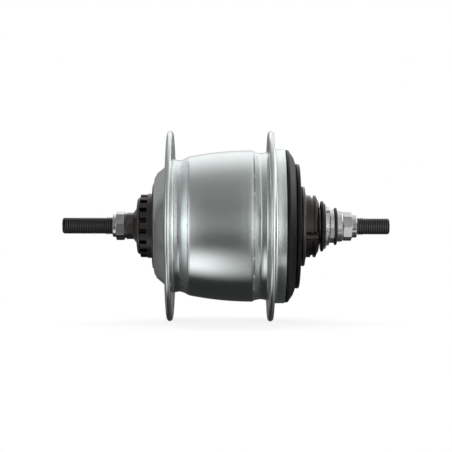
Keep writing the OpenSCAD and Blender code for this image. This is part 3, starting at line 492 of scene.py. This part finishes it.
class Pattern(Tree):
    """A Geometry Nodes tree with named inputs. The last is the material of what it makes."""

    def __init__(self, name, **inputs):
        self.group = bpy.data.node_groups.new(name, "GeometryNodeTree")
        super().__init__(self.group)
        face = self.group.interface
        for label, kind in dict(Geometry="Geometry", **inputs, Material="Material").items():
            face.new_socket(label, in_out="INPUT", socket_type="NodeSocket" + kind)
        face.new_socket("Geometry", in_out="OUTPUT", socket_type="NodeSocketGeometry")
        sockets = self.nodes.new("NodeGroupInput").outputs
        self.given = {socket.name: Wire(self, socket) for socket in sockets}

    def ring_of(self, thing, count, radius, place, share=0.0):
        """Copies of a thing on an upright ring round the axle, turned by a share of a step."""
        ring = self.node("GeometryNodeMeshCircle", inputs={"Vertices": count, "Radius": radius})
        turn = self.node("ShaderNodeCombineXYZ", inputs={"Z": math.tau * share / count})
        ring = self.node("GeometryNodeTransform", inputs={"Geometry": ring, "Rotation": turn})
        at = self.node("ShaderNodeCombineXYZ", inputs={"Y": place})
        ring = self.node("GeometryNodeTransform", inputs={
            "Geometry": ring, "Rotation": (math.pi / 2, 0, 0), "Translation": at})
        return self.node("GeometryNodeInstanceOnPoints", inputs={"Points": ring, "Instance": thing})

    def end_in(self, shape):
        """Coats the shape and makes it the tree's result."""
        coated = self.node("GeometryNodeSetMaterial", inputs={
            "Geometry": shape, "Material": self.given["Material"]})
        self.feed(self.nodes.new("NodeGroupOutput").inputs[0], coated)
        return self.group


def drilling():
    """Cuts two rings of holes with the drill, the second half a step on from the first."""
    tree = Pattern("spoke_drilling", Drill="Object", Holes="Int", Circle="Float", First="Float",
                   Second="Float")
    given = tree.given
    drill = tree.node("GeometryNodeObjectInfo", inputs={"Object": given["Drill"]}, out="Geometry")
    rings = tree.node("GeometryNodeJoinGeometry", inputs={0: [
        tree.ring_of(drill, given["Holes"], given["Circle"], given[which], share)
        for which, share in (("First", 0.0), ("Second", 0.5))]})
    drills = tree.node("GeometryNodeRealizeInstances", inputs={0: rings})
    return tree.end_in(tree.node(
        "GeometryNodeMeshBoolean", {"operation": "DIFFERENCE", "solver": "EXACT"},
        {"Mesh 1": given["Geometry"], "Mesh 2": drills}))


def grown(name, group, values, start=None):
    """The plain mesh that a node tree makes of its inputs, from the start or from nothing."""
    seed = start or shown(name + "_seed", bpy.data.meshes.new(name + "_seed"))
    work = seed.modifiers.new(name, "NODES")
    work.node_group = group
    for item in group.interface.items_tree:
        if item.in_out == "INPUT" and item.name in values:
            work[item.identifier] = values[item.name]
    seed.update_tag()
    bpy.context.view_layer.update()
    depsgraph = bpy.context.evaluated_depsgraph_get()
    mesh = bpy.data.meshes.new_from_object(seed.evaluated_get(depsgraph))
    mesh.name = name
    seed.modifiers.clear()
    bpy.data.objects.remove(seed)
    return shown(name, mesh)


def spoke_drill():
    """The drill for one hole: as wide as a spoke's elbow, and flared to break both edges."""
    hole_r, half, over = SPOKES["hole_r"], SHELL["rim"], 2
    wide_r, broken = hole_r + SPOKES["broken_edge"] + over, half - SPOKES["broken_edge"]
    outline = [(0, -half - over), (wide_r, -half - over), (hole_r, -broken), (hole_r, broken),
               (wide_r, half + over), (0, half + over)]
    bm = bmesh.new()
    walled(bm, [[bm.verts.new(spot(r, angle, along)) for r, along in outline]
                for angle in evenly(24)])
    return made("spoke_drill", bm)


satin_alloy = finish("satin_alloy", (0.69, 0.735, 0.73, 1), (0.72, 0.765, 0.76, 1), 0.18, 1.0,
                     grain=0.1, lines=1.0, lines_scale=7000, mottle=400, depth=0.07)
drill = spoke_drill()
shell = grown("hub_shell_turned", drilling(), {
    "Drill": drill, "Holes": SPOKES["holes"], "Circle": SPOKES["circle_r"] * MM,
    "First": -SHELL["left"] * MM, "Second": -SHELL["right"] * MM, "Material": satin_alloy}, blank)
bpy.data.objects.remove(drill)
settle(shell, satin_alloy, "shell_unit", "shell_alloy", "hub_shell")

# Brake spline ring: a blackened steel ring pressed into the shell's left end. Eighteen slots in
# its rim take the brake disc's splines, its thin flange lies on the shell, and the left bearing's
# cup is inside it.
SPLINE = dict(slots=18, half_slot=1.25, depth=1.6, start=-46.1, slots_to=-42.3, end=-34.9,
              bore=14.6, tip=17.1, edge=0.25, body_r=17.45, press_r=17, flange_r=23,
              flange=(-39.5, -38.72))
SLOT_ANGLE = math.degrees(math.asin(SPLINE["half_slot"] / SPLINE["tip"]))
SLOT_SIDE = 0.5


def slotted(angle):
    """The ring's outline, cut in where a slot stands."""
    step = TURN / SPLINE["slots"]
    off = abs(from_nearest(angle, step / 2, SPLINE["slots"]))
    depth = max(0.0, min(1.0, (SLOT_ANGLE + SLOT_SIDE / 2 - off) / SLOT_SIDE)) * SPLINE["depth"]
    r, edge, bore = SPLINE["tip"] - depth, SPLINE["edge"], SPLINE["bore"]
    start, stop, end = SPLINE["start"], SPLINE["slots_to"], SPLINE["end"]
    outer, inner = SPLINE["flange"]
    return eased([
        (bore, start), (r - edge, start), (r, start + edge), (r, stop), (SPLINE["body_r"], stop),
        (SPLINE["body_r"], outer), (SPLINE["flange_r"], outer), (SPLINE["flange_r"], inner),
        (SPLINE["press_r"], inner), (SPLINE["press_r"], end), (bore, end)], 0.1)


def slot_steps():
    """Angles round the ring, close together at the sides of each slot."""
    half_step = TURN / SPLINE["slots"] / 2
    sides = [SLOT_ANGLE + off for off in (-0.6, -0.25, 0, 0.25, 0.6)]
    offsets = both_ways([SLOT_ANGLE / 2, *sides]) + [half_step]
    return sorted(about(half_step, SPLINE["slots"], offsets))


# The teeth are a lighter colour at their tips, from a little below the tip radius.
black_zinc = finish("black_zinc", grey(0.005), grey(0.01), 0.28, 0.75, grain=0.4, lines=0.5,
                    crest=SPLINE["tip"], wear_and_highlight=grey(0.05, 0.03))
spline_ring = turned("brake_spline_ring_turned", slotted, slot_steps())
settle(spline_ring, black_zinc, "shell_unit", "black_steel", "brake_spline_ring")

# Dust caps and the ring behind the sprocket: two black moulded caps on the driver close the drive
# side. The large one is domed in steps, and the small one lies on its middle. A thin browned ring
# sits against the driver's shoulder.
DRIVER_SEAT = 18.53
LARGE_CAP = [
    (41.4, 32.2), (41.4, 33.2), (40.85, 33.8), (39.9, 34.3), (39.1, 34.9), (37.6, 36.0),
    (35.0, 37.0), (DRIVER_SEAT, 37.0), (DRIVER_SEAT, 36.0), (35.0, 36.0), (36.6, 35.0),
    (38.1, 33.9), (38.9, 33.3), (39.85, 32.8), (40.4, 32.2)]
SMALL_CAP = [
    (32.55, 37.6), (33.75, 37.6), (33.75, 39.0), (33.25, 39.5), (DRIVER_SEAT, 39.5),
    (DRIVER_SEAT, 38.2), (32.55, 38.2)]
BACK_RING = [
    (DRIVER_SEAT, 40.8), (21.3, 40.8), (21.6, 41.1), (21.6, 42.2), (21.3, 42.5),
    (DRIVER_SEAT, 42.5)]
black_moulding = finish("black_moulding", grey(0.006), grey(0.011), 0.4, 0.0, grain=0.6,
                        mottle=1400, depth=0.02, specular=0.2)
large_cap = turned("large_cap_pressed", eased(LARGE_CAP, 0.15), evenly(200))
settle(large_cap, black_moulding, "driver_unit", "black_plastic", "dust_cap_large")
small_cap = turned("small_cap_pressed", eased(SMALL_CAP, 0.15), evenly(200))
settle(small_cap, black_moulding, "driver_unit", "black_plastic", "dust_cap_small")
back_ring = turned("back_ring_turned", eased(BACK_RING, 0.12), evenly(180))
settle(back_ring, brown_steel, "driver_unit", "brown_steel", "driver_back_ring")

# Driver: forged and turned steel, browned. The sprocket slides on its seat with three lugs in the
# notches, and a snap ring in the groove holds it. The driver's balls run inside it, and a rubber
# seal closes its mouth.
DRIVER_PATH = (10.6, 45.0)
DRIVER = dict(bore=12.6, drum_r=30.7, drum=(25.4, 30.9), neck_r=20.5, body_r=18.5, shoulder=43.0,
              seat_r=16.85, groove_r=15.7, groove=(45.6, 47.2), mouth_r=13.1, end=50, lip_r=9.4,
              lip=(40.7, 42.6))
NOTCH = dict(count=3, first=198.4, reach=17.45, r=2.4, floor=42.8)
UNCUT = 99.0


def notch_room(angle):
    """How far out the driver still reaches at an angle: to the notch, or uncut."""
    off = math.radians(from_nearest(angle, NOTCH["first"], NOTCH["count"]))
    across = NOTCH["reach"] * math.sin(off)
    if abs(across) >= NOTCH["r"]:
        return UNCUT
    return NOTCH["reach"] * math.cos(off) - math.sqrt(NOTCH["r"] ** 2 - across ** 2)


def driver_outline(angle):
    """The driver: drum, body, the sprocket's seat with its groove, and the mouth with the balls."""
    room = notch_room(angle)
    shoulder = DRIVER["shoulder"] if room == UNCUT else NOTCH["floor"]
    bore, drum_r, body_r, seat_r = (DRIVER[size] for size in ("bore", "drum_r", "body_r", "seat_r"))
    groove_r, mouth_r, lip_r = (DRIVER[size] for size in ("groove_r", "mouth_r", "lip_r"))
    (left, right), (groove, groove_end) = DRIVER["drum"], DRIVER["groove"]
    (lip, lip_end), end = DRIVER["lip"], DRIVER["end"]
    seat = [
        (seat_r, shoulder), (seat_r, groove), (groove_r, groove), (groove_r, groove_end),
        (seat_r, groove_end), (seat_r, 48.35), (16.6, 48.6), (16.25, 48.6), (15.0, 49.25),
        (13.6, end)]
    return eased([
        (bore, left), (drum_r, left), (drum_r, right), (DRIVER["neck_r"], right),
        (body_r, right + 2), (body_r, shoulder), *((min(r, room), along) for r, along in seat),
        (mouth_r, end), (mouth_r, DRIVER_PATH[1]), *ball_track(DRIVER_PATH, 0, -118),
        (lip_r, lip_end), (lip_r, lip), (bore, lip)], 0.12)


def notch_steps():
    """Angles round the driver, close together in the notches."""
    half, beside = math.degrees(math.asin(NOTCH["r"] / NOTCH["reach"])), 0.4
    shares = (0.2, 0.4, 0.6, 0.75, 0.87, 0.95, 0.99, 1.004, 1.03)
    near = about(NOTCH["first"], NOTCH["count"], both_ways([half * share for share in shares]))
    clear = {angle for angle in evenly(120)
             if all(notch_room(angle + off) == UNCUT for off in (-beside, 0, beside))}
    return sorted({round(angle, 4) for angle in near} | clear)


driver_brown = finish("browned_driver", (0.04, 0.034, 0.034, 1), (0.068, 0.056, 0.054, 1), 0.22,
                      0.85, grain=0.35, lines=0.5)
driver = turned("driver_turned", driver_outline, notch_steps())
settle(driver, driver_brown, "driver_unit", "brown_steel", "driver")
rubber = finish("seal_rubber", grey(0.012), grey(0.02), 0.55, 0.0, grain=0.6)
seal = turned("driver_seal_moulded", eased([
    (12.87, 48.6), (12.87, 49.8), (10.2, 49.8), (9.25, 49.4), (9.25, 49.0), (10.4, 48.9)], 0.1))
settle(seal, rubber, "driver_unit", "seal_rubber", "driver_seal")

# Right cone and the stack outside it: the steel cone's neck, a painted dust disc, the notched ring
# that the shift cable's unit turns, the stop nut with two flats, a wire ring and a plain collar
# stand between the driver and the lock nut.
NECK_R, DISC_BORE = 7.5, 7.53
ACTUATOR = dict(bore=7.03, foot=53.4, foot_r=12.4, end=55.8, tip=10.4, notches=6, first=192,
                half=1.1, floor=8.9)
STOP_NUT = dict(start=56.1, flats_to=58.5, end=60.05, r=9.0, half_flats=8.5, turn=26.4, edge=0.25,
                lip_r=8.45)
WIRE_BORE = 8.63
COLLAR_R, COLLAR = 8.3, (60.1, 63.25)


def notched(angle):
    """The actuator ring's outline, cut in where one of its six notches stands."""
    bore, foot, end, tip = ACTUATOR["bore"], ACTUATOR["foot"], ACTUATOR["end"], ACTUATOR["tip"]
    off = math.radians(from_nearest(angle, ACTUATOR["first"], ACTUATOR["notches"]))
    cut = abs(tip * math.sin(off)) < ACTUATOR["half"]
    room = ACTUATOR["floor"] / max(math.cos(off), 0.9) if cut else UNCUT
    return eased([
        (bore, foot), (ACTUATOR["foot_r"], foot), (ACTUATOR["foot_r"], 53.8), (10.9, 54.3),
        (min(tip, room) if cut else 10.5, 54.55), (min(tip, room), 54.75), (min(tip, room), 55.6),
        (min(10.2, room), end), (bore, end)], 0.08)


def actuator_steps():
    """Angles round the actuator ring, close together at the sides of each notch."""
    half = math.degrees(math.asin(ACTUATOR["half"] / ACTUATOR["tip"]))
    first, count = ACTUATOR["first"], ACTUATOR["notches"]
    at_notches = both_ways([half + off for off in (-1.5, -0.5, -0.04, 0.04, 0.5)])
    between = both_ways([3.5 * k for k in range(1, 7)])
    return sorted(about(first, count, at_notches) | about(first + TURN / count / 2, count, between))


def two_flats(angle):
    """The stop nut's outline: round, but for two flats, with a round lip beyond."""
    start, stop, end, edge = (STOP_NUT[size] for size in ("start", "flats_to", "end", "edge"))
    off = math.radians(from_nearest(angle, STOP_NUT["turn"], 2))
    r = min(STOP_NUT["r"], STOP_NUT["half_flats"] / max(abs(math.cos(off)), 0.5))
    return eased([
        (BORE, start), (r - edge, start), (r, start + edge), (r, stop - 0.2), (r - 0.2, stop),
        (min(STOP_NUT["lip_r"], r - 0.1), stop), (STOP_NUT["lip_r"], end), (BORE, end)], 0.08)


bright_steel = finish("bright_steel", grey(0.56), grey(0.68), 0.22, 1.0, grain=0.25, lines=0.4)
satin_black = finish("satin_black_paint", grey(0.008), grey(0.014), 0.36, 0.0, grain=0.5,
                     specular=0.3)
right_cone = turned("right_cone_turned", eased([
    (BORE, 43.5), (8.6, 43.5), *ball_track(DRIVER_PATH, 205, 130), (9.0, 47.0), (9.0, 51.2),
    (NECK_R, 51.2), (NECK_R, 53.1), (BORE, 53.1)], 0.1))
settle(right_cone, dark_steel, "axle_unit", "bright_steel", "right_cone")
dust_disc = turned("dust_disc_pressed", [
    (DISC_BORE, 51.3), (12.1, 51.35), (12.45, 51.2), *bow(12.95, 52.0, 0.8, -120, 120, 16),
    (12.3, 52.35), (DISC_BORE, 52.3)], evenly(144))
settle(dust_disc, satin_black, "axle_unit", "black_steel", "driver_dust_disc")
actuator = turned("actuator_ring_notched", notched, actuator_steps())
settle(actuator, bright_steel, "shifter", "bright_steel", "actuator_ring")
stop_nut = turned("stop_nut_milled", two_flats, evenly(180))
settle(stop_nut, bright_steel, "axle_unit", "bright_steel", "stop_nut")
wire_ring = turned("retaining_ring_pressed", [
    (WIRE_BORE, 58.6), *bow(9.5, 59.3, 0.68, -90, 90, 14), (WIRE_BORE, 60.0)], evenly(144))
settle(wire_ring, satin_black, "axle_unit", "black_steel", "retaining_ring")
spacer = turned("spacer_collar_turned", eased([
    (BORE, COLLAR[0]), (COLLAR_R, COLLAR[0]), (COLLAR_R, 62.6), (7.7, COLLAR[1]),
    (BORE, COLLAR[1])], 0.1))
settle(spacer, bright_steel, "axle_unit", "bright_steel", "spacer_collar")

# Balls: hardened steel, ground and polished. Nine run on the left, nine in the driver, and
# twenty-four in the large bearing that carries the shell on the drive side.
BALL_R, LARGE_BEARING_BALL_R = 2.38, 1.98
LARGE_BEARING_PATH = (34.885, 27.4)


def ball_ring():
    """A ring of balls about the axle."""
    tree = Pattern("ball_ring", Balls="Int", Size="Float", Path="Float", Place="Float")
    given = tree.given
    ball = tree.node("GeometryNodeMeshIcoSphere", inputs={
        "Radius": given["Size"], "Subdivisions": 4})
    return tree.end_in(tree.node("GeometryNodeRealizeInstances", inputs={
        0: tree.ring_of(ball, given["Balls"], given["Path"], given["Place"])}))


polished = finish("polished_balls", grey(0.6), grey(0.68), 0.07, 1.0, grain=0.1)
ring = ball_ring()
for node, body, count, size, (path_r, along) in (
        ("left_balls", "left_bearing", 9, BALL_R, LEFT_PATH),
        ("driver_balls", "driver_bearing", 9, BALL_R, DRIVER_PATH),
        ("right_balls", "right_bearing", 24, LARGE_BEARING_BALL_R, LARGE_BEARING_PATH)):
    balls = grown(node + "_polished", ring, {
        "Balls": count, "Size": size * MM, "Path": path_r * MM, "Place": -along * MM,
        "Material": polished})
    settle(balls, polished, body, "bearing_steel", node)

# The works inside: gears, planet carrier, pins, pawls, clutch and shifter keep their CAD solids.
# Cut teeth are bright and oiled, and the carrier is darker machined steel. Cups, races and rollers
# are ground, and springs, ball retainers and pawls have finishes of their own.
gear_steel = finish("cut_gear_steel", grey(0.4, 0.02), grey(0.55, 0.02), 0.26, 1.0, grain=0.4,
                    lines=0.3)
carrier_steel = finish("carrier_steel", grey(0.26, 0.02), grey(0.36, 0.02), 0.36, 1.0, grain=0.4,
                       lines=0.5)
spring_steel = finish("spring_steel", grey(0.18, 0.03), grey(0.3, 0.03), 0.3, 1.0, grain=0.3)
cage_metal = finish("cage_metal", (0.36, 0.3, 0.18, 1), (0.46, 0.39, 0.24, 1), 0.34, 1.0, grain=0.4)
hardened = finish("hardened_steel", grey(0.34, -0.01), grey(0.46, -0.01), 0.22, 1.0, grain=0.3,
                  lines=0.4)
bearing_steel = finish("bearing_steel", grey(0.5), grey(0.6), 0.16, 1.0, grain=0.15, lines=0.2)
for material, names in (
        (gear_steel, ("sun_gear_reduction", "sun_gear_top", "sun_gear_low", "sun_gear_middle",
                      "ring_gear_reduction", "ring_gear_overdrive", "overdrive_planet_1",
                      "overdrive_planet_2", "overdrive_planet_3", "reduction_planet_1",
                      "reduction_planet_2", "reduction_planet_3")),
        (carrier_steel, ("carrier_left_plate", "carrier_body", "carrier_right_plate",
                         "ratchet_ring")),
        (spring_steel, ("return_spring", "pawl_spring", "axle_snap_rings", "carrier_screws")),
        (cage_metal, ("left_ball_retainer", "driver_ball_retainer", "right_ball_retainer",
                      "roller_cage")),
        (hardened, ("sun_pawls", "drive_pawls", "control_arms", "cam_ring")),
        (bearing_steel, ("left_ball_cup", "right_ball_cup", "clutch_race", "clutch_rollers",
                         "overdrive_planet_pins", "reduction_planet_pins"))):
    for name in names:
        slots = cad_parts[name].data.materials
        slots.clear()
        slots.append(material)

# Floor: pale paper under the hub, in a white room. It is nearly as bright as the room, it keeps a
# faint shadow, and it fades out before its edge. Nothing reflects it.
FLOOR = dict(height=-51.75, radius=600, faded_from=90, faded_to=300, self_lit=0.85)
bm = bmesh.new()
bmesh.ops.create_circle(bm, cap_ends=True, segments=96, radius=FLOOR["radius"] * MM)
bmesh.ops.translate(bm, verts=bm.verts, vec=(0, 0, FLOOR["height"] * MM))
floor = made("floor", bm)
paper = bpy.data.materials.new("floor_paper")
tree = shading(paper)
seen = tree.node("ShaderNodeLightPath", out="Is Camera Ray")
away = tree.node("ShaderNodeVectorMath", {"operation": "LENGTH"}, {0: tree.place()}, "Value")
matt = tree.nodes["Principled BSDF"]
matt.inputs["Base Color"].default_value = grey(0.86)
matt.inputs["Roughness"].default_value = 0.9
matt.inputs["Specular IOR Level"].default_value = 0.1
glow = tree.node("ShaderNodeEmission", inputs={"Color": grey(1.0), "Strength": 1.0})
lit = tree.node("ShaderNodeMixShader", inputs={
    0: seen * FLOOR["self_lit"], 1: Wire(tree, matt.outputs[0]), 2: glow})
faded = tree.node("ShaderNodeMixShader", inputs={
    0: tree.smooth(away, FLOOR["faded_from"] * MM, FLOOR["faded_to"] * MM), 1: lit,
    2: tree.node("ShaderNodeBsdfTransparent")})
tree.feed(tree.nodes["Material Output"].inputs["Surface"], faded)
floor.data.materials.append(paper)
floor.visible_glossy = False

# Tent: an open cylinder of cloth round the axle, seen only in reflections. It is bright high up
# behind the hub and dim in front. A long card hangs low in front, and others beside the left end,
# the collar, the lock nut, the driver and the right end.
TENT_R, TENT_END = 400, 1200
# Where a card's edge starts and where the card is full, in radii of the tent to the brake side.
COLLAR_CARD, NUT_CARD, DRIVER_CARD = (-0.085, -0.105), (-0.185, -0.205), (-0.255, -0.3)
RIGHT_CARD, LEFT_MOUTH = (-0.7, -0.85), (1.5, 2.6)
# Where a card starts to grow brighter and where it is brightest, then how bright it is at both.
LOW_CARD_GROWS, COLLAR_CARD_GROWS = (-0.05, 0.4, 0.4, 1.45), (-0.11, -0.14, 1.12, 1.3)
bm = bmesh.new()
walled(bm, [[bm.verts.new(spot(TENT_R, angle, along)) for along in (TENT_END, -TENT_END)]
            for angle in evenly(72)])
tent = made("tent", bm)
cloth = bpy.data.materials.new("tent_cloth")
tree = shading(cloth)
x, y, z = tree.split(tree.place())
turn = tree.node("ShaderNodeMath", {"operation": "ARCTAN2"}, {0: z, 1: -1 * x})
around = turn * (180 / math.pi)  # 0 is on the camera's side, 90 is above
aside = y / (TENT_R * MM)  # how far to the brake side, in radii of the tent


def card(*stops):
    """The brightness of a card by the degrees about the axle."""
    brightest = max(value for angle, value in stops)
    stops = [((angle + 180) / TURN, value / brightest) for angle, value in stops]
    ramp = tree.node("ShaderNodeValToRGB", {"stops": stops}, {0: turn / math.tau + 0.5})
    ramp.socket.node.color_ramp.interpolation = "EASE"
    return tree.node("ShaderNodeSeparateColor", inputs={0: ramp}) * brightest


def hung(room, mask, other):
    """The room with another card where the mask is 1."""
    return room + mask * (other - room)


middle = card(
    (-180, 0.3), (-165, 0.1), (-150, 0.035), (-90, 0.03), (-60, 0.06), (-30, 0.12), (-16, 0.14),
    (-8, 0.21), (2, 0.27), (30, 0.225), (55, 0.27), (70, 0.32), (80, 0.39), (88, 0.5), (96, 0.64),
    (105, 0.82), (120, 1.07), (138, 1.2), (152, 1.05), (159, 0.6), (167, 0.2), (180, 0.05))
low_card = card(
    (-90, 0.0), (-84, 0.18), (-77, 0.55), (-70, 0.9), (-62, 1.0), (-54, 0.92), (-47, 0.68),
    (-40, 0.36), (-33, 0.1), (-26, 0.0))
left_end = card(
    (-180, 0.1), (-120, 0.2), (-88, 0.2), (-57, 0.28), (-48, 0.4), (-38, 0.62), (-29, 0.85),
    (-17, 1.15), (0, 1.35), (17, 1.1), (38, 0.73), (55, 0.46), (71, 0.34), (90, 0.32), (150, 0.36),
    (180, 0.28))
by_collar = card(
    (-180, 0.05), (-110, 0.04), (-72, 0.03), (-58, 0.04), (-50, 0.08), (-44, 0.18), (-38, 0.38),
    (-31, 0.68), (-24, 0.95), (-12, 1.3), (0, 1.4), (12, 1.3), (24, 1.1), (43, 0.85), (62, 0.7),
    (81, 0.65), (96, 0.75), (114, 1.0), (146, 1.0), (160, 0.7), (170, 0.4), (180, 0.3))
by_nut = card(
    (-180, 0.05), (-90, 0.05), (-40, 0.1), (-29, 0.15), (-22, 0.3), (-10, 0.6), (0, 0.6), (20, 0.4),
    (45, 0.32), (70, 0.5), (85, 0.8), (120, 1.0), (150, 1.0), (165, 0.4), (180, 0.3))
by_driver = card(
    (-180, 0.05), (-130, 0.08), (-100, 0.12), (-75, 0.22), (-60, 0.38), (-50, 0.42), (-40, 0.42),
    (-30, 0.45), (-20, 0.6), (-8, 0.9), (0, 1.0), (8, 0.9), (20, 0.6), (30, 0.5), (45, 0.5),
    (55, 0.5), (70, 0.45), (85, 0.46), (100, 0.65), (117, 0.95), (140, 1.15), (160, 0.7),
    (180, 0.3))
right_end = card(
    (-180, 0.1), (-130, 0.2), (-110, 0.3), (-95, 0.5), (-82, 0.75), (-70, 0.9), (-57, 1.1),
    (-45, 1.3), (-32, 1.35), (-20, 1.8), (0, 2.2), (10, 2.1), (20, 1.65), (32, 1.4), (45, 1.25),
    (58, 1.1), (70, 0.9), (85, 0.8), (98, 0.85), (112, 1.2), (128, 1.7), (146, 2.2), (160, 1.2),
    (180, 0.5))
left_edge = tree.smooth(around, 70, 125, 0.42, 0.28)  # nearer the hub's middle high up behind
small_card = (tree.smooth(aside, -0.19, -0.21)
              * tree.smooth(around, -62, -54) * tree.smooth(around, -38, -46))
shade = (tree.smooth(aside, -0.24, -0.27) * tree.smooth(aside, -0.46, -0.42)
         * tree.smooth(around, -42, -25) * tree.smooth(around, 38, 18))
room = middle + low_card * tree.smooth(aside, *LOW_CARD_GROWS)
room = hung(room, tree.smooth(aside - left_edge, 0.0, 0.1), left_end)
room = hung(room, tree.smooth(aside, *COLLAR_CARD),
            tree.smooth(aside, *COLLAR_CARD_GROWS) * by_collar)
room = hung(room, tree.smooth(aside, *NUT_CARD), by_nut + 0.8 * small_card)
room = hung(room, tree.smooth(aside, *DRIVER_CARD), by_driver)
room = hung(room, tree.smooth(aside, *RIGHT_CARD), right_end)
room = hung(room, 0.85 * shade, 0.0)
room = hung(room, tree.smooth(aside, *LEFT_MOUTH), 0.15)
tree.nodes.remove(tree.nodes["Principled BSDF"])
shine = tree.node("ShaderNodeEmission", inputs={"Color": tree.level(room), "Strength": 1.0})
tree.feed(tree.nodes["Material Output"].inputs["Surface"], shine)
tent.data.materials.append(cloth)
tent.visible_camera = tent.visible_diffuse = tent.visible_shadow = False

# Room, lamps and camera: a white room that lights the hub softly, a wide lamp over it and a small
# one in front. The camera looks level at the middle of the hub from the photograph's side. In this
# section distances are in metres.
ROOM_LIGHT, ROOM_IN_METAL = 0.5, 0.2
LAMPS = (dict(name="lamp_over", place=(0.25, 0.0, 0.75), width=0.7, height=0.5, power=6.0),
         dict(name="lamp_front", place=(-0.7, 0.35, 0.45), width=0.3, height=0.3, power=2.0))
CAMERA = dict(place=(-0.791, -0.00002, 0.00005), lens=116, sensor=36, roll=0.16)
world = bpy.data.worlds.new("studio_room")
bpy.context.scene.world = world
tree = shading(world)
ray = tree.node("ShaderNodeLightPath", out="Is Camera Ray")
rays = ray.socket.node.outputs
metal, glass = Wire(tree, rays["Is Glossy Ray"]), Wire(tree, rays["Is Transmission Ray"])
bright = (1 - metal - glass - ray) * ROOM_LIGHT + (metal + glass) * ROOM_IN_METAL + ray
tree.feed(tree.nodes["Background"].inputs["Color"], tree.level(bright))
tree.nodes["Background"].inputs["Strength"].default_value = 1.0
for sizes in LAMPS:
    light = bpy.data.lights.new(sizes["name"], "AREA")
    light.shape, light.energy = "RECTANGLE", sizes["power"]
    light.size, light.size_y = sizes["width"], sizes["height"]
    lamp = bpy.data.objects.new(sizes["name"], light)
    lamp.location = sizes["place"]
    lamp.rotation_euler = (-Vector(sizes["place"])).to_track_quat("-Z", "Y").to_euler()
    lamp.visible_glossy = False
    bpy.context.scene.collection.objects.link(lamp)
camera = bpy.data.objects.new("camera", bpy.data.cameras.new("camera"))
camera.data.lens, camera.data.sensor_width = CAMERA["lens"], CAMERA["sensor"]
camera.location = CAMERA["place"]
roll = Quaternion((0, 0, 1), math.radians(CAMERA["roll"]))
camera.rotation_euler = (Vector((1, 0, 0)).to_track_quat("-Z", "Y") @ roll).to_euler()
bpy.context.scene.collection.objects.link(camera)
bpy.context.scene.camera = camera
bpy.context.scene.view_settings.view_transform = "Standard"
